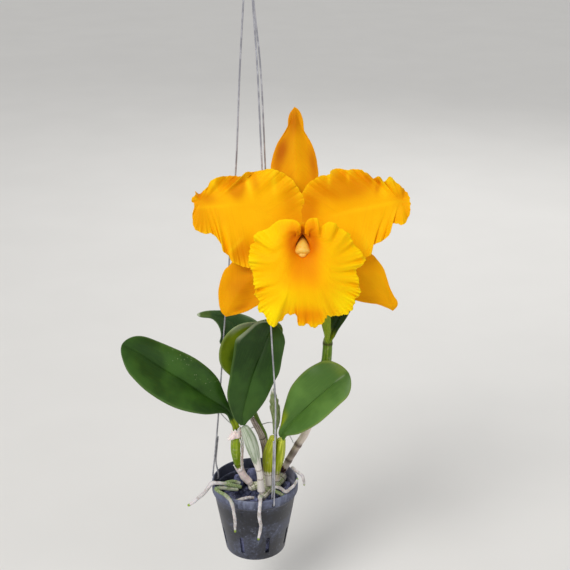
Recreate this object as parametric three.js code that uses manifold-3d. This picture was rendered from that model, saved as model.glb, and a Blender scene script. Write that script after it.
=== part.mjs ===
// A cattleya orchid in flower, growing on charcoal in a small black plastic pot
// that hangs from a three-wire hanger. Millimetres, +Z up. The origin is the inside
// of the hanger's hook, where it bears on a rail, so the whole object hangs below it.
// Every piece is built from the centre of the pot's base upwards, and their group is
// lowered by HANG_HEIGHT.
import * as THREE from "three";
import { ConvexGeometry } from "three/addons/geometries/ConvexGeometry.js";
import { mergeVertices } from "three/addons/utils/BufferGeometryUtils.js";
import Module from "manifold-3d";

const { degToRad, lerp } = THREE.MathUtils;
const wasm = await Module();
wasm.setup();

// ---- Driving dimensions -------------------------------------------------------

// Pot: a thin tapered tub with a thick rim.
const POT_HEIGHT = 62;
const POT_BASE_RADIUS = 24.5;
const POT_RIM_RADIUS = 35;
const POT_RIM_BAND = 9;
const POT_RIM_THICK = 1.7;
const POT_RIM_STEP = 1.4;
const POT_WALL = 1.3;
const POT_FLOOR = 1.8;
const DRAIN_HOLE_COUNT = 5;
const DRAIN_HOLE_RADIUS = 3;
const DRAIN_RING_RADIUS = 15;
const SLOT_COUNT = 8;
const SLOT_WIDTH = 3.2;
const SLOT_HEIGHT = 16;
const SLOT_FOOT = 7;

// Hanger: three wires that clip through the rim and meet in a collar under a hook.
const WIRE_RADIUS = 0.65;
const TIE_RADIUS = 0.4;
const WIRE_HOLE_RADIUS = 1.6;
const WIRE_HOLE_HEIGHT = 56.8;
const NECK_HEIGHT = 492;
const COLLAR_LENGTH = 12;
const COLLAR_RADIUS = 2.6;
const HOOK_WIRE_RADIUS = 1.1;
const HOOK_BEND_RADIUS = 10;
const HANG_HEIGHT = 533;
const HANGER_ANGLES = { left: 163, front: -64, back: 60 };

// Charcoal: a packed bed with loose lumps on top.
const BED_TOP = 40;
const BED_GAP = 0.5;
const LUMP_CORNERS = 16;
const GOLDEN_ANGLE = Math.PI * (3 - Math.sqrt(5));

// Plant.
const RHIZOME_HEIGHT = 54.6;
const RHIZOME_RADIUS = 3.6;
const LEAF_THICK = 1.8;
const SHEATH_THICK = 0.7;
const SHEATH_GAP = 0.7;
const FRESH_SHEATH_THICK = 0.8;
const ROOT_RADIUS = 1.35;
const SEPAL_THICK = 1.3;
const PETAL_THICK = 1.1;
const RECEPTACLE_BACK = 6;
const LIP_THICK = 1.1;
const LIP_SLIT = 9;
const ANTHER_CAP_RADIUS = 3.4;

// Flower: the point where its parts join, and how far it faces above the horizon.
const FLOWER_CENTRE = [36.6, -32, 288];
const FLOWER_TILT = 18;

// How finely the pieces are divided.
const POT_FACETS = 40;
const HOLE_FACETS = 12;
const SHEATH_STEPS = 6;
const BLADE_HALF_STEPS = 3;
const LIP_STEPS = 44;

// ---- Small helpers ------------------------------------------------------------

const vec = ([x, y, z]) => new THREE.Vector3(x, y, z);
const curveOf = (points) =>
  new THREE.CatmullRomCurve3(points.map(vec), false, "catmullrom", 0.5);

// A list of values read as one smooth function over 0..1.
function profile(values) {
  const curve = curveOf(values.map((value, i) => [i / (values.length - 1), value, 0]));
  return (u) => curve.getPoint(u).y;
}

const material = (color, roughness, metalness = 0) =>
  new THREE.MeshStandardMaterial({ color, roughness, metalness });

const MATERIALS = {
  pot: material(0x2b2d33, 0.5),
  wire: material(0x8f8f93, 0.45, 1),
  charcoal: material(0x35363c, 0.9),
  root: material(0xc9c5ae, 0.8),
  bulb: material(0x9aa02e, 0.5),
  sheath: material(0xbdb3a4, 0.8),
  leaf: material(0x3f6e2c, 0.45),
  stem: material(0x6f9a3a, 0.45),
  sepal: material(0xe8920c, 0.55),
  petal: material(0xf5a60a, 0.55),
  lip: material(0xffc20a, 0.55),
  column: material(0xf6d98a, 0.5),
};

// Joins equal rings of points into one closed solid. Each ring runs out along one side
// and back along the other, so its two ends close with strips across it.
function loft(rings) {
  const count = rings[0].length;
  const positions = rings.flat().flatMap((p) => [p.x, p.y, p.z]);
  const faces = [];
  const quad = (a, b, c, d) => faces.push(a, b, c, a, c, d);
  for (let i = 0; i + 1 < rings.length; i++) {
    for (let j = 0; j < count; j++) {
      const k = (j + 1) % count;
      quad(i * count + j, i * count + k, (i + 1) * count + k, (i + 1) * count + j);
    }
  }
  const last = (rings.length - 1) * count;
  for (let j = 0; j < count / 2 - 1; j++) {
    const back = count - 1 - j;
    quad(j, back, back - 1, j + 1);
    quad(last + j, last + j + 1, last + back - 1, last + back);
  }
  if (signedVolume(positions, faces) < 0) faces.reverse();
  return new THREE.BufferGeometry()
    .setAttribute("position", new THREE.Float32BufferAttribute(positions, 3))
    .setIndex(faces);
}

function signedVolume(positions, faces) {
  const corner = (i) => new THREE.Vector3().fromArray(positions, faces[i] * 3);
  let volume = 0;
  for (let i = 0; i < faces.length; i += 3) {
    volume += corner(i).dot(corner(i + 1).cross(corner(i + 2)));
  }
  return volume;
}

// A sheet of points, grid[along][across], given a thickness that thins at its edges.
function sheetSolid(grid, thickness) {
  const along = grid.length - 1;
  const across = grid[0].length - 1;
  const normalAt = (i, j) => {
    const down = grid[Math.min(i + 1, along)][j].clone().sub(grid[Math.max(i - 1, 0)][j]);
    const side = grid[i][Math.min(j + 1, across)].clone().sub(grid[i][Math.max(j - 1, 0)]);
    return down.cross(side).normalize();
  };
  const rings = grid.map((row, i) => {
    const half = row.map((_, j) => {
      const edge = Math.abs((2 * j) / across - 1);
      return normalAt(i, j).multiplyScalar((thickness / 2) * (1 - 0.6 * edge ** 3));
    });
    const upper = row.map((p, j) => p.clone().add(half[j]));
    const lower = row.map((p, j) => p.clone().sub(half[j]));
    return [...upper, ...lower.reverse()];
  });
  return loft(rings);
}

// A round limb along a path, with its radius read from a list of radii.
function limb({ path, radii, sides = 8, steps = 14 }) {
  const curve = curveOf(path);
  const frames = curve.computeFrenetFrames(steps, false);
  const radiusAt = profile(radii);
  const rings = [];
  for (let i = 0; i <= steps; i++) {
    const u = i / steps;
    const centre = curve.getPointAt(u);
    rings.push(
      Array.from({ length: sides }, (_, j) => {
        const turn = ((j + 0.5) / sides) * 2 * Math.PI;
        return centre
          .clone()
          .addScaledVector(frames.normals[i], radiusAt(u) * Math.cos(turn))
          .addScaledVector(frames.binormals[i], radiusAt(u) * Math.sin(turn));
      }),
    );
  }
  return loft(rings);
}

// Part of a papery shell around a limb, between two places on its path: it faces one
// way, wraps round by spread degrees each side of that, and flares open at its top.
function sheathGeometry({ around, from, to, facing, spread, flare }) {
  const curve = curveOf(around.path);
  const radiusAt = profile(around.radii);
  const face = vec(facing);
  const grid = [];
  for (let i = 0; i <= SHEATH_STEPS; i++) {
    const u = lerp(from, to, i / SHEATH_STEPS);
    const side = face.clone().cross(curve.getTangentAt(u)).normalize();
    const out = curve.getTangentAt(u).cross(side);
    const reach = radiusAt(u) + SHEATH_GAP + SHEATH_THICK / 2 + flare * (i / SHEATH_STEPS) ** 2;
    grid.push(
      Array.from({ length: SHEATH_STEPS + 1 }, (_, j) => {
        const turn = degToRad(spread) * ((2 * j) / SHEATH_STEPS - 1);
        return curve
          .getPointAt(u)
          .addScaledVector(out, reach * Math.cos(turn))
          .addScaledVector(side, reach * Math.sin(turn));
      }),
    );
  }
  return sheetSolid(grid, SHEATH_THICK);
}

// A leaf: a spine, the half-widths to its left and right as seen from its upper face,
// the way that face looks, and how far its halves fold up from flat at base and tip.
function leafGeometry({ spine, left, right, facing, fold, stations = 16, thickness = LEAF_THICK }) {
  const curve = curveOf(spine);
  const widthAt = { left: profile(left), right: profile(right) };
  const face = vec(facing).normalize();
  const grid = [];
  for (let i = 0; i <= stations; i++) {
    const u = i / stations;
    const centre = curve.getPoint(u);
    const ahead = curve.getTangent(u);
    const side = ahead.clone().cross(face).normalize();
    const up = side.clone().cross(ahead).normalize();
    const lift = degToRad(lerp(...fold, u));
    const row = [];
    for (let j = -BLADE_HALF_STEPS; j <= BLADE_HALF_STEPS; j++) {
      const share = Math.abs(j) / BLADE_HALF_STEPS;
      const width = (j < 0 ? widthAt.left(u) : widthAt.right(u)) * share;
      row.push(
        centre
          .clone()
          .addScaledVector(side, Math.sign(j) * width * Math.cos(lift))
          .addScaledVector(up, width * Math.sin(lift)),
      );
    }
    grid.push(row);
  }
  return sheetSolid(grid, thickness);
}

// A sepal or petal, drawn in the flower's own plane as a spine and two edges that run
// from base to tip, each a list of [x, y, depth].
function bloomGeometry({ spine, left, right }, thickness) {
  const stations = 18;
  const curves = [curveOf(left), curveOf(spine), curveOf(right)];
  const grid = [];
  for (let i = 0; i <= stations; i++) {
    const [edgeA, middle, edgeB] = curves.map((curve) => curve.getPoint(i / stations));
    const row = [];
    for (let j = -BLADE_HALF_STEPS; j <= BLADE_HALF_STEPS; j++) {
      const edge = j < 0 ? edgeA : edgeB;
      row.push(middle.clone().lerp(edge, Math.abs(j) / BLADE_HALF_STEPS));
    }
    grid.push(row);
  }
  return sheetSolid(grid, thickness);
}

// A round wire of even radius. Its steps are shared out evenly between the points of its
// path, so a bend that is drawn with close points comes out smooth.
function wireGeometry(points, radius, { perSpan = 3, sides = 6 } = {}) {
  const path = curveOf(points);
  path.getUtoTmapping = (u) => u;
  const steps = perSpan * (points.length - 1);
  const section = new THREE.Shape(
    Array.from({ length: sides }, (_, i) => {
      const turn = (i / sides) * 2 * Math.PI;
      return new THREE.Vector2(radius * Math.cos(turn), radius * Math.sin(turn));
    }),
  );
  return new THREE.ExtrudeGeometry(section, { steps, extrudePath: path, bevelEnabled: false });
}

// three.js geometry to a manifold-3d solid and back.
function toSolid(geometry) {
  const bare = geometry.clone();
  bare.deleteAttribute("normal");
  bare.deleteAttribute("uv");
  const merged = mergeVertices(bare, 1e-4);
  return new wasm.Manifold(
    new wasm.Mesh({
      numProp: 3,
      vertProperties: new Float32Array(merged.attributes.position.array),
      triVerts: new Uint32Array(merged.index.array),
    }),
  );
}

function fromSolid(solid) {
  const mesh = solid.getMesh();
  return new THREE.BufferGeometry()
    .setAttribute("position", new THREE.BufferAttribute(new Float32Array(mesh.vertProperties), 3))
    .setIndex(new THREE.BufferAttribute(new Uint32Array(mesh.triVerts), 1));
}

const joined = (geometries) =>
  fromSolid(geometries.map(toSolid).reduce((whole, piece) => whole.add(piece)));

// ---- Assembly -----------------------------------------------------------------

const orchid = new THREE.Group();
orchid.position.z = -HANG_HEIGHT;

function addPiece(name, geometry, finish, parent = orchid) {
  const mesh = new THREE.Mesh(geometry, finish);
  mesh.name = name;
  parent.add(mesh);
  return mesh;
}

// ---- Pot ----------------------------------------------------------------------

// A cylinder along Y, for cutting round holes.
const drill = (radius, length) =>
  new THREE.CylinderGeometry(radius, radius, length, HOLE_FACETS);

function potGeometry() {
  const inner = POT_RIM_RADIUS - POT_RIM_THICK;
  const shoulder = POT_HEIGHT - POT_RIM_BAND;
  const wallTop = POT_RIM_RADIUS - POT_RIM_STEP;
  const outline = [
    [0, 0],
    [POT_BASE_RADIUS - 1, 0],
    [POT_BASE_RADIUS, 1],
    [wallTop, shoulder],
    [POT_RIM_RADIUS, shoulder + 1.2],
    [POT_RIM_RADIUS, POT_HEIGHT - 0.8],
    [POT_RIM_RADIUS - 0.8, POT_HEIGHT],
    [inner + 0.4, POT_HEIGHT],
    [inner, POT_HEIGHT - 0.6],
    [inner, shoulder],
    [wallTop - POT_WALL, shoulder - 1],
    [POT_BASE_RADIUS - POT_WALL, POT_FLOOR],
    [0, POT_FLOOR],
  ].map(([x, y]) => new THREE.Vector2(x, y));
  let pot = toSolid(new THREE.LatheGeometry(outline, POT_FACETS).rotateX(Math.PI / 2));

  for (let i = 0; i < DRAIN_HOLE_COUNT; i++) {
    const drain = drill(DRAIN_HOLE_RADIUS, 4 * POT_FLOOR)
      .rotateX(Math.PI / 2)
      .translate(DRAIN_RING_RADIUS, 0, 0)
      .rotateZ((i / DRAIN_HOLE_COUNT) * 2 * Math.PI);
    pot = pot.subtract(toSolid(drain));
  }
  for (let i = 0; i < SLOT_COUNT; i++) {
    const slot = new THREE.BoxGeometry(POT_BASE_RADIUS, SLOT_WIDTH, SLOT_HEIGHT)
      .translate(1.2 * POT_BASE_RADIUS, 0, SLOT_FOOT + SLOT_HEIGHT / 2)
      .rotateZ(((i + 0.5) / SLOT_COUNT) * 2 * Math.PI);
    pot = pot.subtract(toSolid(slot));
  }
  for (const degrees of Object.values(HANGER_ANGLES)) {
    const hole = drill(WIRE_HOLE_RADIUS, 8 * POT_RIM_THICK)
      .rotateZ(Math.PI / 2)
      .translate(POT_RIM_RADIUS, 0, WIRE_HOLE_HEIGHT)
      .rotateZ(degToRad(degrees));
    pot = pot.subtract(toSolid(hole));
  }
  return fromSolid(pot);
}

addPiece("pot", potGeometry(), MATERIALS.pot);

// ---- Hanger -------------------------------------------------------------------

// Each wire ends in a free leg that stands close behind it, turns out through its hole in
// the rim, climbs outside it, bows a little on the way, and ends at the collar.
const WIRE_LEGS = {
  left: [[-30, 11.4, 95], [-31.2, 11.3, 84], [-32.2, 11, 72]],
  front: [[15.6, -26.3, 112], [15.3, -27.7, 97], [14.9, -29.2, 80]],
  back: [[16, 26.9, 97], [16.2, 28.4, 80]],
};
const WIRE_BOWS = {
  left: [
    [-29.6, 9.5, 111], [-22.6, 7, 196], [-17.8, 5.3, 251.5], [-11.6, 3.5, 325],
    [-7.8, 2, 396],
  ],
  front: [
    [16.7, -27.5, 114], [17, -25.5, 147], [13.9, -21.5, 204.5], [7.8, -12, 330],
    [5, -7, 398],
  ],
  back: [[16.3, 26, 121], [14.1, 21, 185], [9.7, 12, 323], [7, 6, 395]],
};

function hangerWirePath(side) {
  const turn = degToRad(HANGER_ANGLES[side]);
  const at = (radius, height) => [radius * Math.cos(turn), radius * Math.sin(turn), height];
  return [
    ...WIRE_LEGS[side],
    at(32, 63),
    at(31.8, 58),
    at(32.6, WIRE_HOLE_HEIGHT - 0.3),
    at(35.2, WIRE_HOLE_HEIGHT),
    at(36.1, 58.8),
    at(36.1, 64),
    ...WIRE_BOWS[side],
    at(4.6, NECK_HEIGHT - 45),
    at(1.3, NECK_HEIGHT - 0.6),
  ];
}

for (const side of Object.keys(HANGER_ANGLES)) {
  const wire = wireGeometry(hangerWirePath(side), WIRE_RADIUS);
  addPiece(`hanger_wire_${side}`, wire, MATERIALS.wire);
}

function hookGeometry() {
  const collar = drill(COLLAR_RADIUS, COLLAR_LENGTH)
    .rotateX(Math.PI / 2)
    .translate(0, 0, NECK_HEIGHT + COLLAR_LENGTH / 2);
  const top = NECK_HEIGHT + COLLAR_LENGTH;
  const centre = HANG_HEIGHT + HOOK_WIRE_RADIUS - HOOK_BEND_RADIUS;
  const bend = (degrees) => {
    const turn = degToRad(degrees);
    return [HOOK_BEND_RADIUS * Math.cos(turn), 0, centre + HOOK_BEND_RADIUS * Math.sin(turn)];
  };
  const path = [
    [0, 0, top - 3],
    [0, 0, top + 3],
    [-3.6, 0, top + 9],
    ...[195, 165, 135, 105, 75, 45, 15, -15, -40].map(bend),
    [9.6, 0, centre - 12],
  ];
  return joined([collar, wireGeometry(path, HOOK_WIRE_RADIUS, { sides: 8 })]);
}

addPiece("hanger_hook", hookGeometry(), MATERIALS.wire);

// ---- Charcoal -----------------------------------------------------------------

function bedGeometry() {
  const wall = (height) =>
    lerp(
      POT_BASE_RADIUS - POT_WALL,
      POT_RIM_RADIUS - POT_RIM_STEP - POT_WALL,
      (height - POT_FLOOR) / (POT_HEIGHT - POT_RIM_BAND - POT_FLOOR),
    ) - BED_GAP;
  const bottom = POT_FLOOR + BED_GAP;
  const outline = [
    [0, bottom],
    [wall(bottom) - 0.5, bottom],
    [wall(BED_TOP) - 0.8, BED_TOP - 1],
    [wall(BED_TOP) - 3, BED_TOP],
    [0, BED_TOP],
  ].map(([x, y]) => new THREE.Vector2(x, y));
  return new THREE.LatheGeometry(outline, 24).rotateX(Math.PI / 2);
}

addPiece("charcoal_bed", bedGeometry(), MATERIALS.charcoal);

// A lump is the convex hull of points spread evenly over a ball, pushed in and out.
function lumpGeometry(seed, [a, b, c]) {
  const points = [];
  for (let i = 0; i < LUMP_CORNERS; i++) {
    const z = 1 - (2 * i + 1) / LUMP_CORNERS;
    const turn = i * GOLDEN_ANGLE + seed;
    const ring = Math.sqrt(1 - z * z);
    const push = 0.7 + 0.11 * Math.sin(seed * 7.1 + i * 2.7);
    const boxy = push / Math.max(Math.abs(z), Math.abs(ring * Math.cos(turn)), 0.72);
    const point = new THREE.Vector3(a * ring * Math.cos(turn), b * ring * Math.sin(turn), c * z);
    points.push(point.multiplyScalar(boxy));
  }
  return new ConvexGeometry(points);
}

// [x, y, z, half-lengths, turn about Z in degrees]
const LUMPS = [
  [-21, 5, 49.5, [7, 8.5, 7], 12],
  [-20, -11, 48, [7, 6.5, 7], 40],
  [-9, -22.5, 47.5, [8, 6, 6], -15],
  [6, -24, 47, [6.5, 5, 6], 10],
  [17.6, -16.6, 47.5, [6, 6.6, 6], 30],
  [25, -3, 48.5, [5.2, 7, 7], -5],
  [25, 10.4, 47.2, [4, 4.6, 5.6], 20],
  [14, 22.4, 48, [6.4, 4.4, 6.4], -32],
  [-2, 25, 50, [6.5, 5.5, 8], 5],
  [-14, 19.5, 49, [6, 5, 7.5], 35],
];

LUMPS.forEach(([x, y, z, size, degrees], i) => {
  const lump = addPiece(`charcoal_${i + 1}`, lumpGeometry(i + 1, size), MATERIALS.charcoal);
  lump.position.set(x, y, z);
  lump.rotation.z = degToRad(degrees);
});

// ---- Rhizome and pseudobulbs --------------------------------------------------

const creeping = (points) =>
  limb({
    path: points.map(([x, y, dip = 0]) => [x, y, RHIZOME_HEIGHT - dip]),
    radii: [2.2, RHIZOME_RADIUS, RHIZOME_RADIUS, RHIZOME_RADIUS, 2.2],
    steps: 12,
  });

addPiece(
  "rhizome",
  joined([
    creeping([[24, 20], [20.5, 10], [16, 1], [10.5, -6], [6, -15], [3.5, -19, 1]]),
    creeping([[14, -1], [9, 2.4], [3.4, 2.6], [-1.4, 0.8], [-5, -1.4, 1]]),
    creeping([[12, -1], [10, 6], [8.5, 13], [8, 20, 1]]),
  ]),
  MATERIALS.stem,
);

const BULBS = {
  pseudobulb_left: {
    path: [
      [-3.2, -0.8, 57.4], [-5.6, -1.4, 61.4], [-9.2, -2.4, 66.6], [-13, -4.2, 77.4],
      [-14.2, -7, 91.2], [-14.3, -9, 103.2], [-14, -10, 112],
    ],
    radii: [2.6, 2.7, 2.7, 3.1, 3.7, 3.6, 2.6],
  },
  pseudobulb_silvery: {
    path: [
      [5.4, -14.8, 58.8], [4.9, -14.9, 67], [4.1, -15, 76.6], [1.4, -15, 89.4],
      [-2.2, -15, 103.4], [-5.2, -15.5, 113], [-8, -16, 119.4],
    ],
    radii: [2.6, 2.6, 2.6, 3.5, 4.6, 4.3, 2.6],
  },
  pseudobulb_brown: {
    path: [
      [8.6, 11, 58.8], [8.2, 10.6, 72], [7.8, 10, 85], [5, 9, 97.7], [0.5, 8, 108],
      [-2.6, 7.2, 115],
    ],
    radii: [2.4, 2.5, 2.7, 2.6, 2.3, 1.9],
  },
  pseudobulb_back: {
    path: [[8.4, 17.6, 58.8], [8.6, 17.4, 76], [7.8, 17, 92], [3.3, 16.4, 104], [-0.6, 15.4, 116]],
    radii: [1.9, 2, 2.2, 2.1, 1.8],
  },
  pseudobulb_ribbed: {
    path: [
      [11.2, -5, 58.9], [10.7, -4.8, 72.8], [11.4, -5, 87], [13.6, -6, 98],
      [15.4, -7.2, 105.6],
    ],
    radii: [2.6, 3.1, 3.6, 3.1, 1.8],
  },
  pseudobulb_pale: {
    path: [[17.6, 2.2, 58.9], [18.2, 1.6, 70], [20.2, -0.6, 88], [21.6, -3.2, 101]],
    radii: [2.4, 2.7, 3.7, 3.6, 2.6],
  },
  pseudobulb_flowering: {
    path: [
      [22.4, 17, 58.8], [27.7, 15.6, 71], [35.4, 13.6, 87], [41.2, 12, 98.8],
      [49.8, 9, 127.7], [56.4, 6, 161], [58, 4, 184],
    ],
    radii: [2.6, 2.9, 3, 3.2, 3.7, 4, 3.9, 3.2],
    steps: 18,
  },
};

for (const [name, shape] of Object.entries(BULBS)) {
  addPiece(name, limb({ sides: 10, ...shape }), MATERIALS.bulb);
}

// Dry papery sheaths left around two of them.
const DRY_SHEATHS = {
  dry_sheath_left: {
    around: BULBS.pseudobulb_left,
    from: 0.45,
    to: 0.97,
    facing: [0.8, -0.6, 0],
    spread: 70,
    flare: 1,
  },
  dry_sheath_flowering: {
    around: BULBS.pseudobulb_flowering,
    from: 0.015,
    to: 0.11,
    facing: [0, -1, -0.3],
    spread: 80,
    flare: 0.3,
  },
};

for (const [name, shape] of Object.entries(DRY_SHEATHS)) {
  addPiece(name, sheathGeometry(shape), MATERIALS.sheath);
}

// ---- Leaves -------------------------------------------------------------------

const LEAVES = {
  leaf_left: {
    spine: [
      [-14.2, -10.5, 113.6], [-16.4, -12, 122], [-21.5, -14, 133], [-36, -17, 145.5],
      [-53, -20, 160], [-71, -23, 174], [-87, -25, 187], [-98.5, -26, 194],
    ],
    left: [1.8, 2, 3.9, 16.6, 24.6, 24, 17, 1],
    right: [1.8, 2, 4, 16, 19.6, 18, 13, 1],
    facing: [0.25, -0.72, 0.65],
    fold: [30, 6],
  },
  leaf_centre: {
    spine: [
      [-9, -16.3, 121], [-8.8, -16.6, 130], [-5.4, -16.2, 145.6], [-1.4, -15, 161],
      [2.8, -12.6, 172.5], [7.6, -9, 183.3], [11.4, -5, 192.5], [16, 1, 199],
    ],
    left: [1.8, 8.2, 16.8, 18.6, 21.5, 24.4, 16.2, 1],
    right: [1.8, 8, 14.6, 17.4, 18.5, 16, 14, 1],
    facing: [0.28, -0.9, 0.33],
    fold: [18, 8],
  },
  leaf_pale: {
    spine: [
      [-3, 6.6, 117], [-6, 5.4, 132], [-9, 4, 152], [-9.4, 3, 169], [-3, 3.4, 181],
      [9, 5, 188.4], [22, 7, 194.4],
    ],
    left: [2, 5.6, 7.4, 18.6, 21, 14, 1],
    right: [2, 8, 12, 14, 12, 9, 1],
    facing: [0, -0.98, 0.2],
    fold: [30, 14],
    stations: 14,
  },
  leaf_drooping: {
    spine: [
      [-0.8, 15.4, 118.4], [0, 18, 142], [-2, 20, 163], [-8, 20.6, 181], [-18.5, 19.6, 193.4],
      [-31, 15, 200.6], [-44, 11, 203],
    ],
    left: [2, 9, 13, 17, 18, 3.8, 1],
    right: [2, 10, 15, 19, 9, 3.8, 1],
    facing: [-0.35, -0.75, 0.55],
    fold: [30, 8],
  },
  leaf_right: {
    spine: [
      [22.6, -5.4, 104], [24.6, -9, 112], [32, -12.5, 124], [43, -15, 137],
      [54.5, -17, 150], [64.5, -19, 160.5], [73, -20, 168],
    ],
    left: [2, 4.6, 12, 20.3, 21.6, 18, 1],
    right: [3, 5.6, 14.2, 18, 17.8, 15.5, 1],
    facing: [-0.3, -0.78, 0.55],
    fold: [30, 6],
  },
  leaf_flowering: {
    spine: [
      [59.4, 5.6, 186], [63.6, 9, 194], [69.6, 14, 205], [74.3, 20, 219], [77, 28, 241],
      [78, 34, 256],
    ],
    left: [2, 5, 9, 12, 10, 1],
    right: [2, 4.5, 7.5, 10, 9, 1],
    facing: [-0.5, -0.8, 0.35],
    fold: [35, 12],
    stations: 12,
  },
};

for (const [name, shape] of Object.entries(LEAVES)) {
  addPiece(name, leafGeometry(shape), MATERIALS.leaf);
}

// An old flower sheath still stands, dry, on the ribbed pseudobulb.
addPiece(
  "old_flower_sheath",
  leafGeometry({
    spine: [
      [16, -8, 107.6], [17.4, -13, 122], [16.5, -17.6, 136], [15.6, -21.4, 147],
      [15.2, -24, 156.4],
    ],
    left: [2, 4.6, 5, 3.6, 0.8],
    right: [1.4, 3, 5, 4, 0.8],
    facing: [0, -0.95, 0.3],
    fold: [-40, -30],
    stations: 12,
    thickness: SHEATH_THICK,
  }),
  MATERIALS.sheath,
);

// ---- Roots --------------------------------------------------------------------

const ROOTS = {
  root_over_left: [
    [-11, -3.8, 56.6], [-20, -7.6, 61], [-29, -10.5, 64], [-35, -11.5, 64.4],
    [-40, -13, 58], [-47, -15, 52], [-54, -17, 47],
  ],
  root_on_rim_left: [
    [-13, -8.5, 57], [-24, -14, 61.6], [-31, -18, 64.2], [-27, -23.5, 64.2],
    [-22.5, -28.5, 64.3], [-18, -34.5, 62], [-16, -37, 54], [-15, -36.5, 44],
    [-15.5, -35, 34],
  ],
  root_inside_left: [[-12, 1.6, 57], [-18, 0.5, 59.6], [-25, -3, 59.6], [-29, -4, 57.5]],
  root_front: [[-0.5, -18.6, 56], [-6, -22, 58], [-13, -25.5, 58], [-19, -24.5, 56.4]],
  root_front_right: [[13.6, -10, 56.4], [17, -14, 58.6], [22, -20, 59.4], [25.6, -20.6, 57]],
  root_on_rim_right: [
    [15.6, -8.4, 59.6], [20, -16.4, 63.6], [25, -23.5, 65], [30, -17, 64.8],
    [33.4, -9.4, 64.8], [34.8, -5, 64.9],
  ],
  root_over_right: [
    [30.2, 14.4, 64.4], [31.8, 11.2, 64.9], [34.6, 5.8, 65], [38.4, 2.8, 63.4],
    [39.8, 0.8, 59.4], [40, -0.2, 55.8],
  ],
  root_down_front: [
    [7, -20.6, 56.4], [6, -27, 62], [5.4, -33, 64.6], [4.6, -37.4, 61], [4, -37, 50],
    [5, -35.2, 38], [3, -33.6, 26],
  ],
};

// They keep one thickness and narrow only at the growing tip.
const ROOT_RADII = [0.9, 1, 1, 0.95, 0.9, 0.4].map((share) => share * ROOT_RADIUS);

for (const [name, path] of Object.entries(ROOTS)) {
  addPiece(name, limb({ path, radii: ROOT_RADII, steps: 16, sides: 6 }), MATERIALS.root);
}

// ---- Support tie: a thin wire that holds the growths to the hanger --------------

const TIE = [
  [-27.9, 10.7, 117.4], [-23.2, 9.6, 112], [-17.4, 10.8, 106], [-7.4, 15.6, 100],
  [-1.6, 19.4, 99], [5, 19.4, 101.6], [13.2, 5.4, 111], [21.2, 2.8, 107.6],
  [28.2, 6, 98.4], [31.3, 9.2, 90.4],
];

addPiece("support_tie", wireGeometry(TIE, TIE_RADIUS), MATERIALS.wire);

// ---- Flower stalk and its sheath -----------------------------------------------

// It ends just behind the flower, in line with the way that the flower faces.
const stalkEnd = vec(FLOWER_CENTRE).addScaledVector(
  new THREE.Vector3(0, Math.cos(degToRad(FLOWER_TILT)), -Math.sin(degToRad(FLOWER_TILT))),
  RECEPTACLE_BACK + 1.2,
);

addPiece(
  "flower_stalk",
  limb({
    path: [
      [57, 1.6, 187.4], [56.6, -2, 206], [52.6, -8, 232], [46.6, -13, 256],
      [40.6, -15.4, 273], [37.4, -18.4, 281], stalkEnd.toArray(),
    ],
    radii: [2, 2.1, 2.2, 2.3, 2.7, 2.9, 3.2],
    steps: 20,
    sides: 10,
  }),
  MATERIALS.stem,
);

addPiece(
  "flower_sheath",
  leafGeometry({
    spine: [
      [56.6, -4, 187.6], [56.2, -7.4, 200], [54.4, -10.8, 214], [51.4, -15.6, 230],
      [48, -21, 243],
    ],
    left: [3, 9, 11, 8, 0.4],
    right: [3, 9, 11, 8, 0.4],
    facing: [0, -0.95, 0.3],
    fold: [-55, -40],
    stations: 12,
    thickness: FRESH_SHEATH_THICK,
  }),
  MATERIALS.stem,
);

// ---- Flower -------------------------------------------------------------------

// Its own frame: x to the viewer's right, y up the dorsal sepal, z out at the viewer.
const flower = new THREE.Group();
flower.position.copy(vec(FLOWER_CENTRE));
flower.rotation.x = Math.PI / 2 - degToRad(FLOWER_TILT);
orchid.add(flower);

const SEPALS = {
  dorsal_sepal: {
    spine: [
      [0, 4.5, 0], [-2.5, 20, -1.5], [-4.5, 40, -3], [-5.2, 60, -4.5], [-5.3, 75, -6.5],
      [-5.4, 88, -9],
    ],
    left: [
      [-4, 4.5, 0], [-16, 20, -3], [-22, 41, -5], [-18, 61, -6], [-9.6, 75, -7.5],
      [-6.2, 87.6, -9],
    ],
    right: [
      [4, 4.5, 0], [9, 20, -3], [11.6, 41, -5], [7.5, 61, -6], [0.8, 75, -7.5],
      [-4.2, 87.6, -9],
    ],
  },
  lateral_sepal_left: {
    spine: [
      [-4, -3.5, -0.5], [-16, -15, -1.5], [-30, -28, -2.5], [-43, -42, -4], [-51, -53, -6],
      [-55, -62.5, -9],
    ],
    left: [
      [-6.5, -0.5, -0.5], [-27, -6, -3], [-46, -18, -4.5], [-59, -34, -6],
      [-60, -51, -7.5], [-55.8, -61.8, -9],
    ],
    right: [
      [-1.5, -5.8, -0.5], [-7, -20, -3], [-16, -37, -4.5], [-29, -52, -6],
      [-42, -60, -7.5], [-54, -62.8, -9],
    ],
  },
  lateral_sepal_right: {
    spine: [
      [4, -3.5, -0.5], [18, -14, -1.5], [33, -26, -2.5], [48, -38, -4], [59, -48, -6],
      [67, -57.6, -9],
    ],
    left: [
      [1.5, -5.8, -0.5], [8, -19, -3], [20, -36, -4.5], [39, -50.5, -6], [54, -54, -7.5],
      [66, -58.2, -9],
    ],
    right: [
      [6.5, -0.5, -0.5], [27, -4, -3], [48, -14, -4.5], [60, -31, -6], [65, -45, -7.5],
      [68.6, -56, -9],
    ],
  },
};

for (const [name, shape] of Object.entries(SEPALS)) {
  addPiece(name, bloomGeometry(shape, SEPAL_THICK), MATERIALS.sepal, flower);
}

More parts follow.
